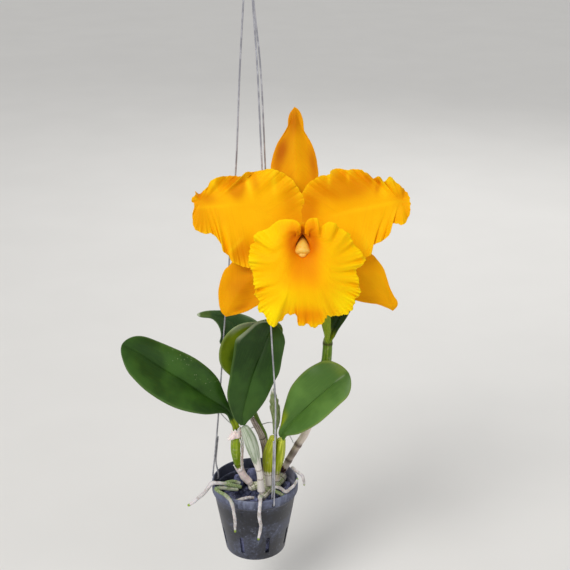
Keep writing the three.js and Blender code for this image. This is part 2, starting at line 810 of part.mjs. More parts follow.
const PETALS = {
  petal_left: {
    spine: [
      [-5, 1.5, 3.2], [-19, 9, 5], [-36, 15, 7], [-53, 19, 7.5], [-68, 20.5, 6.5],
      [-79, 20, 5],
    ],
    left: [
      [-6, -1.6, 3.2], [-20, -16, 4], [-37, -26.5, 5], [-55, -17, 6.5], [-70, -3, 6.5],
      [-78.6, 15, 5],
    ],
    right: [
      [-3.4, 4, 3.2], [-2.6, 27, 4.5], [-18, 41.8, 6.5], [-40, 40, 8], [-64, 35, 7],
      [-78, 24, 5],
    ],
  },
  petal_right: {
    spine: [[5, 1.5, 3.2], [19, 9, 5], [36, 15.5, 7], [53, 20, 7.5], [67, 22, 6.5], [77.5, 20, 5]],
    left: [[3.4, 4, 3.2], [2.6, 28, 4.5], [20, 40.5, 6.5], [43, 42, 8], [64, 36, 7], [76.4, 24, 5]],
    right: [
      [6, -1.6, 3.2], [20, -15, 4], [40, -21.5, 5], [55, -10, 6.5], [68, 3.5, 6.5],
      [77.2, 15, 5],
    ],
  },
};

for (const [name, shape] of Object.entries(PETALS)) {
  addPiece(name, bloomGeometry(shape, PETAL_THICK), MATERIALS.petal, flower);
}

// The lip: a tube rolled close round the column, slit along its top, that opens into a broad
// frilled front. Each row runs from deep in the tube to a point of the outer margin. The
// tube's rings are drops: taper is how far each narrows towards its top.
const LIP_TUBE = [
  { centre: [0, -1.2, 6.5], across: 4.8, down: 5, taper: 0.1 },
  { centre: [0, -3.6, 15], across: 5, down: 5.8, taper: 0.3 },
  { centre: [0, -7.6, 23.5], across: 5.9, down: 8, taper: 0.4 },
  { centre: [0, -9.6, 30], across: 7.2, down: 9.4, taper: 0.55 },
];
const LIP_MARGIN = [
  [-1.6, 3, 35], [-8, 7, 34], [-20, 4.5, 32], [-32, -3.5, 29], [-37.5, -18, 27],
  [-36, -34, 27], [-32.5, -50, 28], [-27.5, -60, 28], [-20, -68.5, 27], [-11, -61, 30],
  [-4, -62, 31], [3, -67.5, 29], [13, -67, 29], [20, -61, 31], [30, -58, 29],
  [36.5, -49, 28], [38.5, -36, 28], [41, -24, 28], [36, -10, 29], [26, 1, 32],
  [14, 5, 34], [7, 7, 35], [1.6, 3, 35],
];

function lipGeometry() {
  const margin = curveOf(LIP_MARGIN);
  const grid = [];
  for (let i = 0; i <= LIP_STEPS; i++) {
    const u = i / LIP_STEPS;
    const turn = degToRad(90 + LIP_SLIT + (360 - 2 * LIP_SLIT) * u);
    const above = Math.max(Math.sin(turn), 0);
    const row = LIP_TUBE.map(({ centre: [x, y, z], across, down, taper }) => {
      const side = across * Math.cos(turn) * (1 - taper * above);
      return new THREE.Vector3(x + side, y + down * Math.sin(turn), z);
    });
    const rim = margin.getPointAt(u);
    const mouth = row[row.length - 1];
    row.push(mouth.clone().lerp(rim, 0.22).setZ(34.4));
    row.push(mouth.clone().lerp(rim, 0.55).setZ(36), rim);
    grid.push(row);
  }
  return sheetSolid(grid, LIP_THICK);
}

addPiece("lip", lipGeometry(), MATERIALS.lip, flower);

addPiece(
  "column",
  limb({
    path: [[0, 0.2, 2.2], [0, -0.4, 9], [0, -3.6, 18], [0, -8.6, 25], [0, -13.2, 29.6]],
    radii: [2.4, 2.4, 2.3, 3.1, 4.4],
    steps: 10,
    sides: 10,
  }),
  MATERIALS.column,
  flower,
);

const cap = new THREE.SphereGeometry(ANTHER_CAP_RADIUS, 12, 8).scale(1, 1.2, 0.6);
const antherCap = addPiece("anther_cap", cap, MATERIALS.column, flower);
antherCap.position.set(0, -16.4, 33);
antherCap.rotation.x = degToRad(-30);

// The button on top of the ovary that every part of the flower stands on.
addPiece(
  "flower_receptacle",
  limb({
    path: [[0, 0, -RECEPTACLE_BACK], [0, 0, -3], [0, 0, 1.6]],
    radii: [3.2, 3.6, 2.6],
    steps: 4,
    sides: 10,
  }),
  MATERIALS.stem,
  flower,
);

export default orchid;
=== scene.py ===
"""A cattleya orchid in flower in its hanging pot: the looks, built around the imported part.

Places are written in millimetres from the centre of the pot's base, with z up, or in the
flower's own frame. `to_row` turns the first into the frame's metres.
"""
import itertools
import math

import bpy
import numpy as np
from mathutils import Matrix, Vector


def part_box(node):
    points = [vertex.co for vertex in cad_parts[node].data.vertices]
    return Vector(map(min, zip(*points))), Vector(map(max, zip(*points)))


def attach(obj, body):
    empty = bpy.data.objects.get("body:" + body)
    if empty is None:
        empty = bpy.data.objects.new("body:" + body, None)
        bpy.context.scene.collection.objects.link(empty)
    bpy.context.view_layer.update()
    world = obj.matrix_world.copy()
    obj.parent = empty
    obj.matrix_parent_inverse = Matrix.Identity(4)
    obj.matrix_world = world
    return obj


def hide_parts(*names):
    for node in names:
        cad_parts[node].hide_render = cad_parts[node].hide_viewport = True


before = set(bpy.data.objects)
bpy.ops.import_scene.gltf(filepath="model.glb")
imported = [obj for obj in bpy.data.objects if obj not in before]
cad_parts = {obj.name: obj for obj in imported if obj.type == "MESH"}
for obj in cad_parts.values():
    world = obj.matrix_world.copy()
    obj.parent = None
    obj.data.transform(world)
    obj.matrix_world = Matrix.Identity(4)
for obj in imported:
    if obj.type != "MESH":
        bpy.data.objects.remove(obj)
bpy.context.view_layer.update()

MM = 0.001
POT_LOW, POT_HIGH = (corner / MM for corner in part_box("pot"))
POT_BASE = POT_LOW.z

FLOWER_CENTRE = (36.6, -32.0, 288.0)
# How far the flower looks up, in degrees.
FLOWER_TILT = 18


def to_row(points):
    """Points in millimetres from the centre of the pot's base, in the frame's metres."""
    return (np.asarray(points, float) + (0, 0, POT_BASE)) * MM


# ---- Curves and sheets of points -------------------------------------------------------


def smooth(points, shares):
    """Points at shares 0..1 of a smooth curve through some points, or through numbers."""
    knots = np.asarray(points, float)
    flat = knots.ndim == 1
    if flat:
        knots = knots[:, None]
    last = len(knots) - 1
    place = np.clip(shares, 0, 1) * last
    first = np.minimum(place.astype(int), last - 1)
    f = (place - first)[:, None]
    padded = np.vstack([2 * knots[0] - knots[1], knots, 2 * knots[-1] - knots[-2]])
    a, b, c, d = (padded[first + k] for k in range(4))
    curve = 2 * b + (c - a) * f + (2 * a - 5 * b + 4 * c - d) * f**2 + (3 * b - a - 3 * c + d) * f**3
    return curve[:, 0] / 2 if flat else curve / 2


def reach_along(points):
    """The distance from the first point to each point, along the line through them."""
    steps = np.linalg.norm(np.diff(points, axis=0), axis=1)
    return np.concatenate([[0], np.cumsum(steps)])


def evenly(points, count):
    """Evenly spaced points along the smooth curve through some points."""
    fine = smooth(points, np.linspace(0, 1, 30 * len(points)))
    reach = reach_along(fine)
    at = np.linspace(0, reach[-1], count)
    return np.stack([np.interp(at, reach, column) for column in fine.T], axis=1)


def softened(values, window):
    """Points averaged over a sliding window of an odd number of them, with the ends kept."""
    padded = np.pad(values, ((window // 2, window // 2), (0, 0)), mode="edge")
    kernel = np.hanning(window + 3)[1:-2]
    columns = [np.convolve(column, kernel / kernel.sum(), "valid") for column in padded.T]
    return np.stack(columns, axis=1)


def wander(along, spacing, seed):
    """Values between -1 and 1 that wander smoothly along a row of rising distances."""
    knots = np.random.default_rng(seed).uniform(-1, 1, max(4, int(along[-1] / spacing) + 3))
    return smooth(knots, along / along[-1])


def ripple(along, pitch, phase):
    """Waves of a pitch along a row of distances."""
    return np.sin(2 * math.pi * along / pitch + phase)


def scaled(values, directions):
    """Directions that are given row by row, scaled by values over the grid."""
    return values[..., None] * directions[:, None]


def unit(vectors):
    """Vectors scaled to length 1."""
    return vectors / np.maximum(np.linalg.norm(vectors, axis=-1, keepdims=True), 1e-9)


def step_between(low, high, values):
    """A soft step from 0 at low to 1 at high."""
    t = np.clip((np.asarray(values, float) - low) / (high - low), 0, 1)
    return t * t * (3 - 2 * t)


LATTICE = np.random.default_rng(5).uniform(-1, 1, (16, 16, 16))


def rumple(points, size, seed=0):
    """Smooth noise between -1 and 1 that changes over distances of about the given size."""
    place = np.asarray(points) / size + seed * np.array([3.1, 5.7, 7.3])
    cell = np.floor(place).astype(int)
    f = place - cell
    f = f * f * (3 - 2 * f)
    total = 0
    for corner in itertools.product((0, 1), repeat=3):
        weight = np.prod(np.where(corner, f, 1 - f), axis=-1)
        i, j, k = np.moveaxis((cell + corner) % 16, -1, 0)
        total = total + weight * LATTICE[i, j, k]
    return total


def points_of(*parts):
    """Points from their parts, which are spread over each other's sizes."""
    return np.stack(np.broadcast_arrays(*parts), axis=-1)


def circle(count):
    """Angles once round, in as many steps."""
    return np.linspace(0, 2 * math.pi, count + 1)


def joined(grid):
    """A grid whose last column is its first, so that it closes exactly."""
    grid[:, -1] = grid[:, 0]
    return grid


def revolved(outline, around):
    """Rings of points from an outline of radii and heights."""
    radius, height = np.asarray(outline, float).T[..., None]
    turn = circle(around)
    return joined(points_of(radius * np.cos(turn), radius * np.sin(turn), height))


def ball(rows, around):
    """Directions in rings from the top of a ball to its bottom."""
    polar = np.linspace(0, math.pi, rows + 1)
    return revolved(points_of(np.sin(polar), np.cos(polar)), around)


def turn_points(points, first, second, degrees):
    """Turns points in the plane of two of their axes."""
    angle = math.radians(degrees)
    x, y = points[..., first].copy(), points[..., second].copy()
    points[..., first] = x * math.cos(angle) - y * math.sin(angle)
    points[..., second] = x * math.sin(angle) + y * math.cos(angle)


def in_flower(points, centre=FLOWER_CENTRE):
    """Points of the flower's frame: x to the right, y up the dorsal sepal, z at the viewer."""
    turned = np.array(points, float)
    turn_points(turned, 1, 2, 90 - FLOWER_TILT)
    return turned + centre


FLOWER_FACING = in_flower((0, 0, 1), centre=0)


# ---- Meshes ---------------------------------------------------------------------------

# How far a thin sheet's rim bulges, against half its thickness.
RIM_REACH = 0.8


class Surface:
    """The triangles over a grid of points, joined where points coincide.

    Each corner keeps the grid's own uv, so a pattern runs unbroken over a seam.
    """

    def __init__(self, grid, uv=None, facing=None):
        self.shape = grid.shape[:2]
        index = np.arange(grid[..., 0].size).reshape(self.shape)
        a, b, c, d = index[:-1, :-1], index[1:, :-1], index[1:, 1:], index[:-1, 1:]
        halves = [np.stack(corners, -1).reshape(-1, 3) for corners in ((a, c, b), (a, d, c))]
        corners = np.concatenate(halves)
        flat = grid.reshape(-1, 3)
        rounded = np.round(flat, 4)
        _, self.first, back = np.unique(rounded, axis=0, return_index=True, return_inverse=True)
        self.points = flat[self.first]
        faces = back.reshape(-1)[corners]
        whole = (faces != np.roll(faces, 1, axis=1)).all(axis=1)
        self.faces = faces[whole]
        over_grid = np.zeros((index.size, 2)) if uv is None else uv.reshape(-1, 2)
        self.uv = over_grid[corners[whole]]
        self.point_uv = over_grid[self.first]
        if facing is not None and self.normals().mean(axis=0) @ np.asarray(facing, float) < 0:
            self.turn_over()

    def turn_over(self):
        self.faces = self.faces[:, ::-1]
        self.uv = self.uv[:, ::-1]

    def at(self, values):
        """Values given over the grid, or over its rows, for the joined points."""
        return np.broadcast_to(values, self.shape).astype(float).reshape(-1)[self.first]

    def corners(self):
        return (self.points[self.faces[:, k]] for k in range(3))

    def normals(self):
        a, b, c = self.corners()
        across = np.cross(b - a, c - a)
        total = np.zeros_like(self.points)
        for k in range(3):
            np.add.at(total, self.faces[:, k], across)
        return unit(total)

    def volume(self):
        a, b, c = self.corners()
        return np.einsum("ij,ij->i", a, np.cross(b, c)).sum()

    def rim(self):
        """The directed edges that only one triangle has."""
        edges = np.concatenate([self.faces[:, [k, (k + 1) % 3]] for k in range(3)])
        there, back = edges @ (len(self.points), 1), edges @ (1, len(self.points))
        return edges[~np.isin(there, back)]


def mesh_of(name, bodies):
    """A smooth-shaded mesh of some bodies, with their uv and the values at their points."""
    points, faces, uv, values = zip(*bodies)
    starts = np.cumsum([0] + [len(there) for there in points])
    triangles = np.concatenate([f + start for f, start in zip(faces, starts)])
    mesh = bpy.data.meshes.new(name)
    mesh.from_pydata(to_row(np.concatenate(points)).tolist(), [], triangles.tolist())
    mesh.uv_layers.new(name="UVMap").data.foreach_set("uv", np.concatenate(uv).ravel())
    for key in values[0]:
        there = np.concatenate([body[key] for body in values])
        mesh.attributes.new(key, "FLOAT", "POINT").data.foreach_set("value", there.astype(np.float32))
    mesh.shade_smooth()
    return mesh


def shell(grid, uv, thickness, facing, **attributes):
    """A thin closed body around a sheet of points, with a rounded rim."""
    sheet = Surface(grid, uv, facing)
    normals = sheet.normals()
    half = sheet.at(thickness)[:, None] / 2
    edges = sheet.rim()
    a, b = edges.T
    out = np.zeros_like(sheet.points)
    for end in (a, b):
        np.add.at(out, end, unit(np.cross(sheet.points[b] - sheet.points[a], normals[end])))
    brink = np.unique(edges)
    middle = sheet.points[brink] + unit(out[brink]) * half[brink] * RIM_REACH
    count = len(sheet.points)
    to_middle = np.full(count, -1)
    to_middle[brink] = 2 * count + np.arange(len(brink))
    m, n = to_middle[a], to_middle[b]
    strips = [(b, a, m), (b, m, n), (n, m, a + count), (n, a + count, b + count)]
    strip_uv = [(b, a, a), (b, a, b)] * 2
    faces = [sheet.faces, sheet.faces[:, ::-1] + count, *(np.stack(strip, axis=1) for strip in strips)]
    corner_uv = [sheet.uv, sheet.uv[:, ::-1]]
    corner_uv += [sheet.point_uv[np.stack(strip, axis=1)] for strip in strip_uv]
    values = {"underside": np.repeat([0.0, 1.0, 0.5], [count, count, len(brink)])}
    for key, over_grid in attributes.items():
        there = sheet.at(over_grid)
        values[key] = np.concatenate([there, there, there[brink]])
    points = np.concatenate([sheet.points + normals * half, sheet.points - normals * half, middle])
    return points, np.concatenate(faces), np.concatenate(corner_uv), values


def solid(grid, uv=None, **attributes):
    """A closed body from a grid whose columns meet round it and whose ends close up."""
    body = Surface(grid, uv)
    if body.volume() < 0:
        body.turn_over()
    values = {key: body.at(over_grid) for key, over_grid in attributes.items()}
    return body.points, body.faces, body.uv, {**values, "underside": np.zeros(len(body.points))}


def rings_along(centres, start):
    """Two directions across a path at each of its points, carried along without twist."""
    ahead = unit(np.gradient(centres, axis=0))
    sides = [np.array(start)]
    for direction in ahead:
        sides.append(unit(sides[-1] - direction * (sides[-1] @ direction)))
    sides = np.array(sides[1:])
    return sides, np.cross(ahead, sides)


def limb_grid(centres, wide, around, lobes=None, tall=None, start=(0.31, 0.95, 0.05)):
    """Rings around a path. lobes(turn, share) scales each ring's radius round and along."""
    sides, ups = rings_along(centres, start)
    turn = circle(around)
    share = np.linspace(0, 1, len(centres))[:, None]
    scale = lobes(turn, share)[..., None] if lobes else 1
    tall = wide if tall is None else tall
    ring = scaled(wide[:, None] * np.cos(turn), sides) + scaled(tall[:, None] * np.sin(turn), ups)
    grid = joined(centres[:, None] + scale * ring)
    return grid, points_of(turn / (2 * math.pi), reach_along(centres)[:, None] / 10)


def rounded_ends(share, blunt):
    """A factor that closes a limb's radius at both of its ends, as a dome does."""
    from_end = np.minimum(share, 1 - share) / blunt
    return np.sqrt(np.clip(1 - (1 - np.clip(from_end, 0, 1)) ** 2, 0, 1))


def add_object(name, data):
    """An object in the scene."""
    made = bpy.data.objects.new(name, data)
    bpy.context.scene.collection.objects.link(made)
    return made


def add_piece(node, bodies, finish):
    """Stands some bodies in place of a node, with their finish."""
    mesh = mesh_of(node + "_surface", bodies)
    mesh.materials.append(finish)
    piece = add_object(node + "_surface", mesh)
    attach(piece, "root")
    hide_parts(node)
    return piece


# ---- Finishes -------------------------------------------------------------------------


def tone(code):
    """A six-figure colour as linear red, green, blue and alpha."""
    shares = [int(code[i : i + 2], 16) / 255 for i in (0, 2, 4)]
    return [s / 12.92 if s <= 0.04045 else ((s + 0.055) / 1.055) ** 2.4 for s in shares] + [1.0]


class Value:
    """A node's output, on which arithmetic adds Math nodes."""

    def __init__(self, graph, socket):
        self.graph = graph
        self.socket = socket

    def math(self, operation, *others):
        inputs = dict(enumerate((self, *others)))
        return self.graph.node("ShaderNodeMath", {"operation": operation}, inputs)

    def __add__(self, other):
        return self.math("ADD", other)

    def __sub__(self, other):
        return self.math("SUBTRACT", other)

    def __rsub__(self, other):
        return self.math("MULTIPLY_ADD", -1.0, other)

    def __mul__(self, other):
        return self.math("MULTIPLY", other)

    __radd__ = __add__
    __rmul__ = __mul__

    def between(self, low, high):
        """A soft step from 0 at low to 1 at high."""
        inputs = {"Value": self, "From Min": low, "From Max": high}
        return self.graph.node("ShaderNodeMapRange", {"interpolation_type": "SMOOTHSTEP"}, inputs)


class Graph:
    """A node tree that is built one node at a time."""

    def __init__(self, tree):
        self.tree = tree

    def node(self, kind, settings=None, inputs=None, output=0):
        made = self.tree.nodes.new(kind)
        for key, setting in (settings or {}).items():
            setattr(made, key, setting)
        for key, value in (inputs or {}).items():
            if isinstance(value, Value):
                self.tree.links.new(value.socket, made.inputs[key])
            else:
                made.inputs[key].default_value = value
        return Value(self, made.outputs[output])


class Finish(Graph):
    """A material: constants on its shader, and patterns that drive it."""

    def __init__(self, name, **constants):
        self.material = bpy.data.materials.new(name)
        self.material.use_nodes = True
        super().__init__(self.material.node_tree)
        self.shader = self.tree.nodes["Principled BSDF"]
        for key, value in constants.items():
            self.shader.inputs[key.replace("_", " ")].default_value = value
        self.place = self.node("ShaderNodeTexCoord", output="Object")

    def attribute(self, name):
        return self.node("ShaderNodeAttribute", {"attribute_name": name}, output="Fac")

    def parts(self, vector):
        """The three parts of a place."""
        split = self.node("ShaderNodeSeparateXYZ", inputs={0: vector}).socket.node
        return [Value(self, part) for part in split.outputs]

    def uv(self):
        """How far round and how far along the surface."""
        return self.parts(self.node("ShaderNodeUVMap"))[:2]

    def noise(self, scale, detail=2.0, rough=0.5, at=None):
        """Noise, drawn out where its scale is three numbers."""
        at = at or self.place
        if isinstance(scale, tuple):
            at = self.node("ShaderNodeVectorMath", {"operation": "MULTIPLY"}, {0: at, 1: scale})
            scale = 1.0
        inputs = {"Vector": at, "Scale": scale, "Detail": detail, "Roughness": rough}
        return self.node("ShaderNodeTexNoise", inputs=inputs)

    def strands(self, detail, x, y, z=0.0):
        """Noise at a place that is given by three numbers or values."""
        at = self.node("ShaderNodeCombineXYZ", inputs={0: x, 1: y, 2: z})
        return self.noise(1.0, detail, at=at)

    def specks(self, scale, low, high):
        """Specks in the middles of cells."""
        cells = self.node("ShaderNodeTexVoronoi", inputs={"Vector": self.place, "Scale": scale})
        return cells.between(low, high)

    def mix(self, mask, low, high):
        inputs = {0: mask, 6: low, 7: high}
        return self.node("ShaderNodeMix", {"data_type": "RGBA"}, inputs, output=2)

    def finished(self, base, layers, rough, relief=None, strength=0.3, depth_mm=0.3):
        """The material: a base colour, others over it where their masks are, and a relief."""
        colour = tone(base)
        for mask, over in layers:
            colour = self.mix(mask, colour, over if isinstance(over, Value) else tone(over))
        driven = {"Base Color": colour, "Roughness": rough}
        if relief:
            inputs = {"Height": relief, "Strength": strength, "Distance": depth_mm * MM}
            driven["Normal"] = self.node("ShaderNodeBump", inputs=inputs)
        for key, value in driven.items():
            self.tree.links.new(value.socket, self.shader.inputs[key])
        return self.material


def flower_tissue(name, green, veins, fine_veins, cloud):
    """Soft petal tissue, with faint veins of given scales across and along them."""
    f = Finish(
        name,
        Subsurface_Weight=0.2,
        Subsurface_Radius=(1.0, green, 0.05),
        Subsurface_Scale=0.0018,
        Specular_IOR_Level=0.06,
    )
    across, out = f.uv()
    veins = f.strands(1.5, across * veins[0], out * veins[1])
    fine_veins = f.strands(1.0, across * fine_veins[0], out * fine_veins[1], 4.0)
    relief = veins * 0.6 + fine_veins * 0.2 + f.noise(1400.0, 1.0) * 0.08
    cloud = f.noise(cloud, 2.0)
    return f, veins, cloud, dict(rough=0.55 + cloud * 0.16, relief=relief, strength=0.2, depth_mm=0.5)


def petal_finish(name, base, bright, deep, pale):
    """Petal tissue: deeper orange, its own towards the centre and painted shade in folds and patches, and
    paler by painted highlight.
    """
    f, veins, cloud, skin = flower_tissue(name, 0.45, (7.0, 0.3), (26.0, 0.9), 60.0)
    layers = [
        (cloud.between(0.3, 0.75), bright),
        (veins.between(0.5, 0.72) * 0.12, deep),
        # Deeper where the tissue's own orange and painted shade are given; paler where painted highlight is
        # given.
        ((f.attribute("warmth") + (veins - 0.5) * 0.1).between(0.0, 1.0), deep),
        (f.attribute("light"), pale),
    ]
    return f.finished(base, layers, **skin)


# ---- Flower: sepals and petals ----------------------------------------------------------


TISSUE_FOLD_PITCH = 15


def patches(points, spots):
    """How strongly some soft oval patches of the flower cover each point."""
    total = 0
    for x, y, wide, tall, lean, strength in spots:
        off = points[..., :2] - (x, y)
        turn_points(off, 0, 1, -lean)
        total = total + strength * np.exp(-((off / (wide, tall)) ** 2).sum(axis=-1))
    return total


def tepal(node, finish, slot, midrib, painted_shade_patches, painted_highlight_patches, upper, lower, thickness, frill, pitch, around,
          across, seed, calm=0.16, arch=0.0, swell=0.0):
    """A sepal or petal: rays run from its midrib to its margin, as its veins do.

    The margin's own heights make its folds, which fade inwards. Frills of the given height
    and pitch, and small teeth, are added along it. Its two lists of patches give painted shade,
    deeper, and painted highlight, brighter: x, y, half-width, half-height, lean in degrees, and
    how strong.
    """
    half = around // 2
    rim = np.concatenate([evenly(upper, half + 1), evenly(lower, half + 1)[-2::-1]])
    along = reach_along(rim)
    tipward = 1 - np.abs(2 * np.linspace(0, 1, len(rim)) - 1)[:, None]
    rib = smooth(midrib, np.sin(tipward[:, 0] * math.pi / 2))
    quiet = softened(rim, int(calm * around) // 2 * 2 + 1)
    out = 1 - (1 - np.linspace(0, 1, across + 1)) ** 1.35
    fade = out[:, None]
    grid = rib[:, None] + (quiet - rib)[:, None] * fade + (rim - quiet)[:, None] * fade**2.4

    from_claw = step_between(8, 30, np.minimum(along, along[-1] - along))[:, None]
    drift = wander(along, 17, seed + 1)
    folds = ripple(along, TISSUE_FOLD_PITCH, 2.5 * wander(along, 30, seed + 4))
    wave = ripple(along, pitch, 2.2 * drift) * (0.65 + 0.35 * wander(along, 22, seed))
    wave += 0.35 * ripple(along, 0.53 * pitch, 3.1 * drift)
    grid[..., 2] += (quiet - rib)[:, 2, None] * (out**1.5 - out)
    grid[..., 2] += from_claw * (swell * folds[:, None] * out**1.8 + frill * wave[:, None] * out**5)
    grid[..., 2] += arch * np.sin(math.pi * out) ** 2 * np.sin(math.pi * tipward) ** 0.7
    teeth = wander(along, 1.9, seed + 2) + 0.5 * wander(along, 1.0, seed + 3)
    grid += scaled(0.55 * frill * from_claw * teeth[:, None] * out**14, unit((rim - rib) * (1, 1, 0)))

    uv = points_of(along[:, None], out * np.linalg.norm(rim - rib, axis=1)[:, None]) / 10
    from_centre = np.hypot(grid[..., 0], grid[..., 1])
    raised = (rim - quiet)[:, 2, None] / 5
    # Deeper orange: the tissue's own towards the centre, and painted shade in patches and in the valleys of
    # the margin's folds.
    warmth = 0.6 * np.exp(-((from_centre / 19) ** 2)) + patches(grid, painted_shade_patches)
    warmth += 0.55 * np.clip(-raised, 0, 1) * out**1.6
    # Paler: painted highlights on raised folds and in patches, and a pale margin where light shines through
    # the thin tissue.
    light = 0.45 * np.clip(raised, 0, 1) * out**1.6 + 0.5 * out**24 + patches(grid, painted_highlight_patches)
    body = shell(in_flower(grid), uv, thickness * (1 - 0.65 * out**3), FLOWER_FACING,
                 warmth=np.clip(warmth, 0, 1), light=np.clip(light, 0, 1))
    add_piece(node, [body], finish)


# Each sepal's midrib, its patches of painted shade and of painted highlight, and its upper and lower
# margins.
SEPALS = {
    "dorsal_sepal": dict(
        midrib=[(-0.5, 5, 0.3), (-2.5, 20, -0.6), (-4.5, 40, -2), (-5.2, 60, -3.6), (-5, 75, -5.6),
                (-5.2, 84, -7.2)],
        painted_shade_patches=[(-14.5, 57, 5, 10, -14, 0.95), (8, 48, 4, 14, 10, 0.65), (-6, 78, 6, 11, 0, 0.75),
              (-18, 38, 4, 12, 0, 0.5)],
        painted_highlight_patches=[(-2.4, 34, 4.6, 22, 3, 0.6)],
        upper=[(-3.6, 4.5, 0), (-11, 14, -2), (-18, 27, -3.4), (-22.2, 42, -5), (-21.3, 51.3, -6),
               (-19.6, 57.1, -6.6), (-17.3, 62.8, -6.8), (-13.3, 68.6, -6.6), (-10.4, 73.8, -6.6),
               (-9.8, 79.2, -7), (-8.7, 83.5, -7.6), (-5.4, 88.2, -8.4)],
        lower=[(3.6, 4.5, 0), (7, 14, -1.6), (10.4, 27, -3), (11.8, 39, -4.6), (11.1, 46, -5.2),
               (10.3, 51.3, -5.8), (8.6, 57.6, -6.4), (5.8, 64, -6.6), (2, 69.6, -6.8),
               (1.2, 73.4, -7), (0.4, 80, -7.4), (-2.3, 86, -8), (-5.4, 88.2, -8.4)],
    ),
    "lateral_sepal_left": dict(
        midrib=[(-4, -3.5, -0.3), (-16, -15, -1), (-30, -28, -2), (-43, -42, -3.4), (-51, -53, -5),
                (-54, -60, -6.6)],
        painted_shade_patches=[(-45, -57, 8, 3, 20, 0.4), (-42, -42, 12, 16, 0, 0.5)],
        painted_highlight_patches=[(-56, -36, 2.4, 12, -10, 0.3)],
        upper=[(-6.4, -0.8, -0.5), (-27, -6, -3), (-44, -17, -4.6), (-52.5, -25.9, -5.4),
               (-56, -29.4, -5.8), (-58.8, -36.3, -6.4), (-60.5, -44.4, -7), (-60.3, -52.5, -7.4),
               (-58.8, -59.4, -8), (-55.4, -63.4, -8.8)],
        lower=[(-1.6, -5.6, -0.5), (-7, -20, -3), (-16, -37, -4.4), (-24.5, -48.6, -5),
               (-31.8, -54.6, -5.4), (-35.2, -56.6, -5.8), (-39.8, -59.2, -6.2),
               (-45.6, -61.1, -6.8), (-51.3, -62.5, -7.8), (-55.4, -63.4, -8.8)],
    ),
    "lateral_sepal_right": dict(
        midrib=[(4, -3.5, -0.3), (18, -14, -1), (33, -26, -2), (48, -38, -3.4), (59, -48, -5),
                (65, -56, -7)],
        painted_shade_patches=[(52, -50, 12, 3.4, -8, 0.25)],
        painted_highlight_patches=[(52, -34, 14, 20, 40, 1.0)],
        upper=[(6.4, -0.8, -0.5), (27, -4, -3), (41, -11, -4.4), (50.6, -17.7, -5.2),
               (54.7, -21.9, -5.6), (59.3, -28.3, -6.2), (61.7, -35.1, -6.6), (64, -42.1, -7),
               (66.8, -47.9, -7.4), (69.6, -52.4, -8), (69.4, -55.9, -8.6), (66.6, -59.2, -9)],
        lower=[(1.6, -5.6, -0.5), (8, -19, -3), (20, -36, -4.4), (31, -47, -5), (39.8, -51.3, -5.4),
               (47.7, -53.1, -6), (54.7, -54.1, -6.8), (61.7, -56.7, -7.8), (66.6, -59.2, -9)],
    ),
}
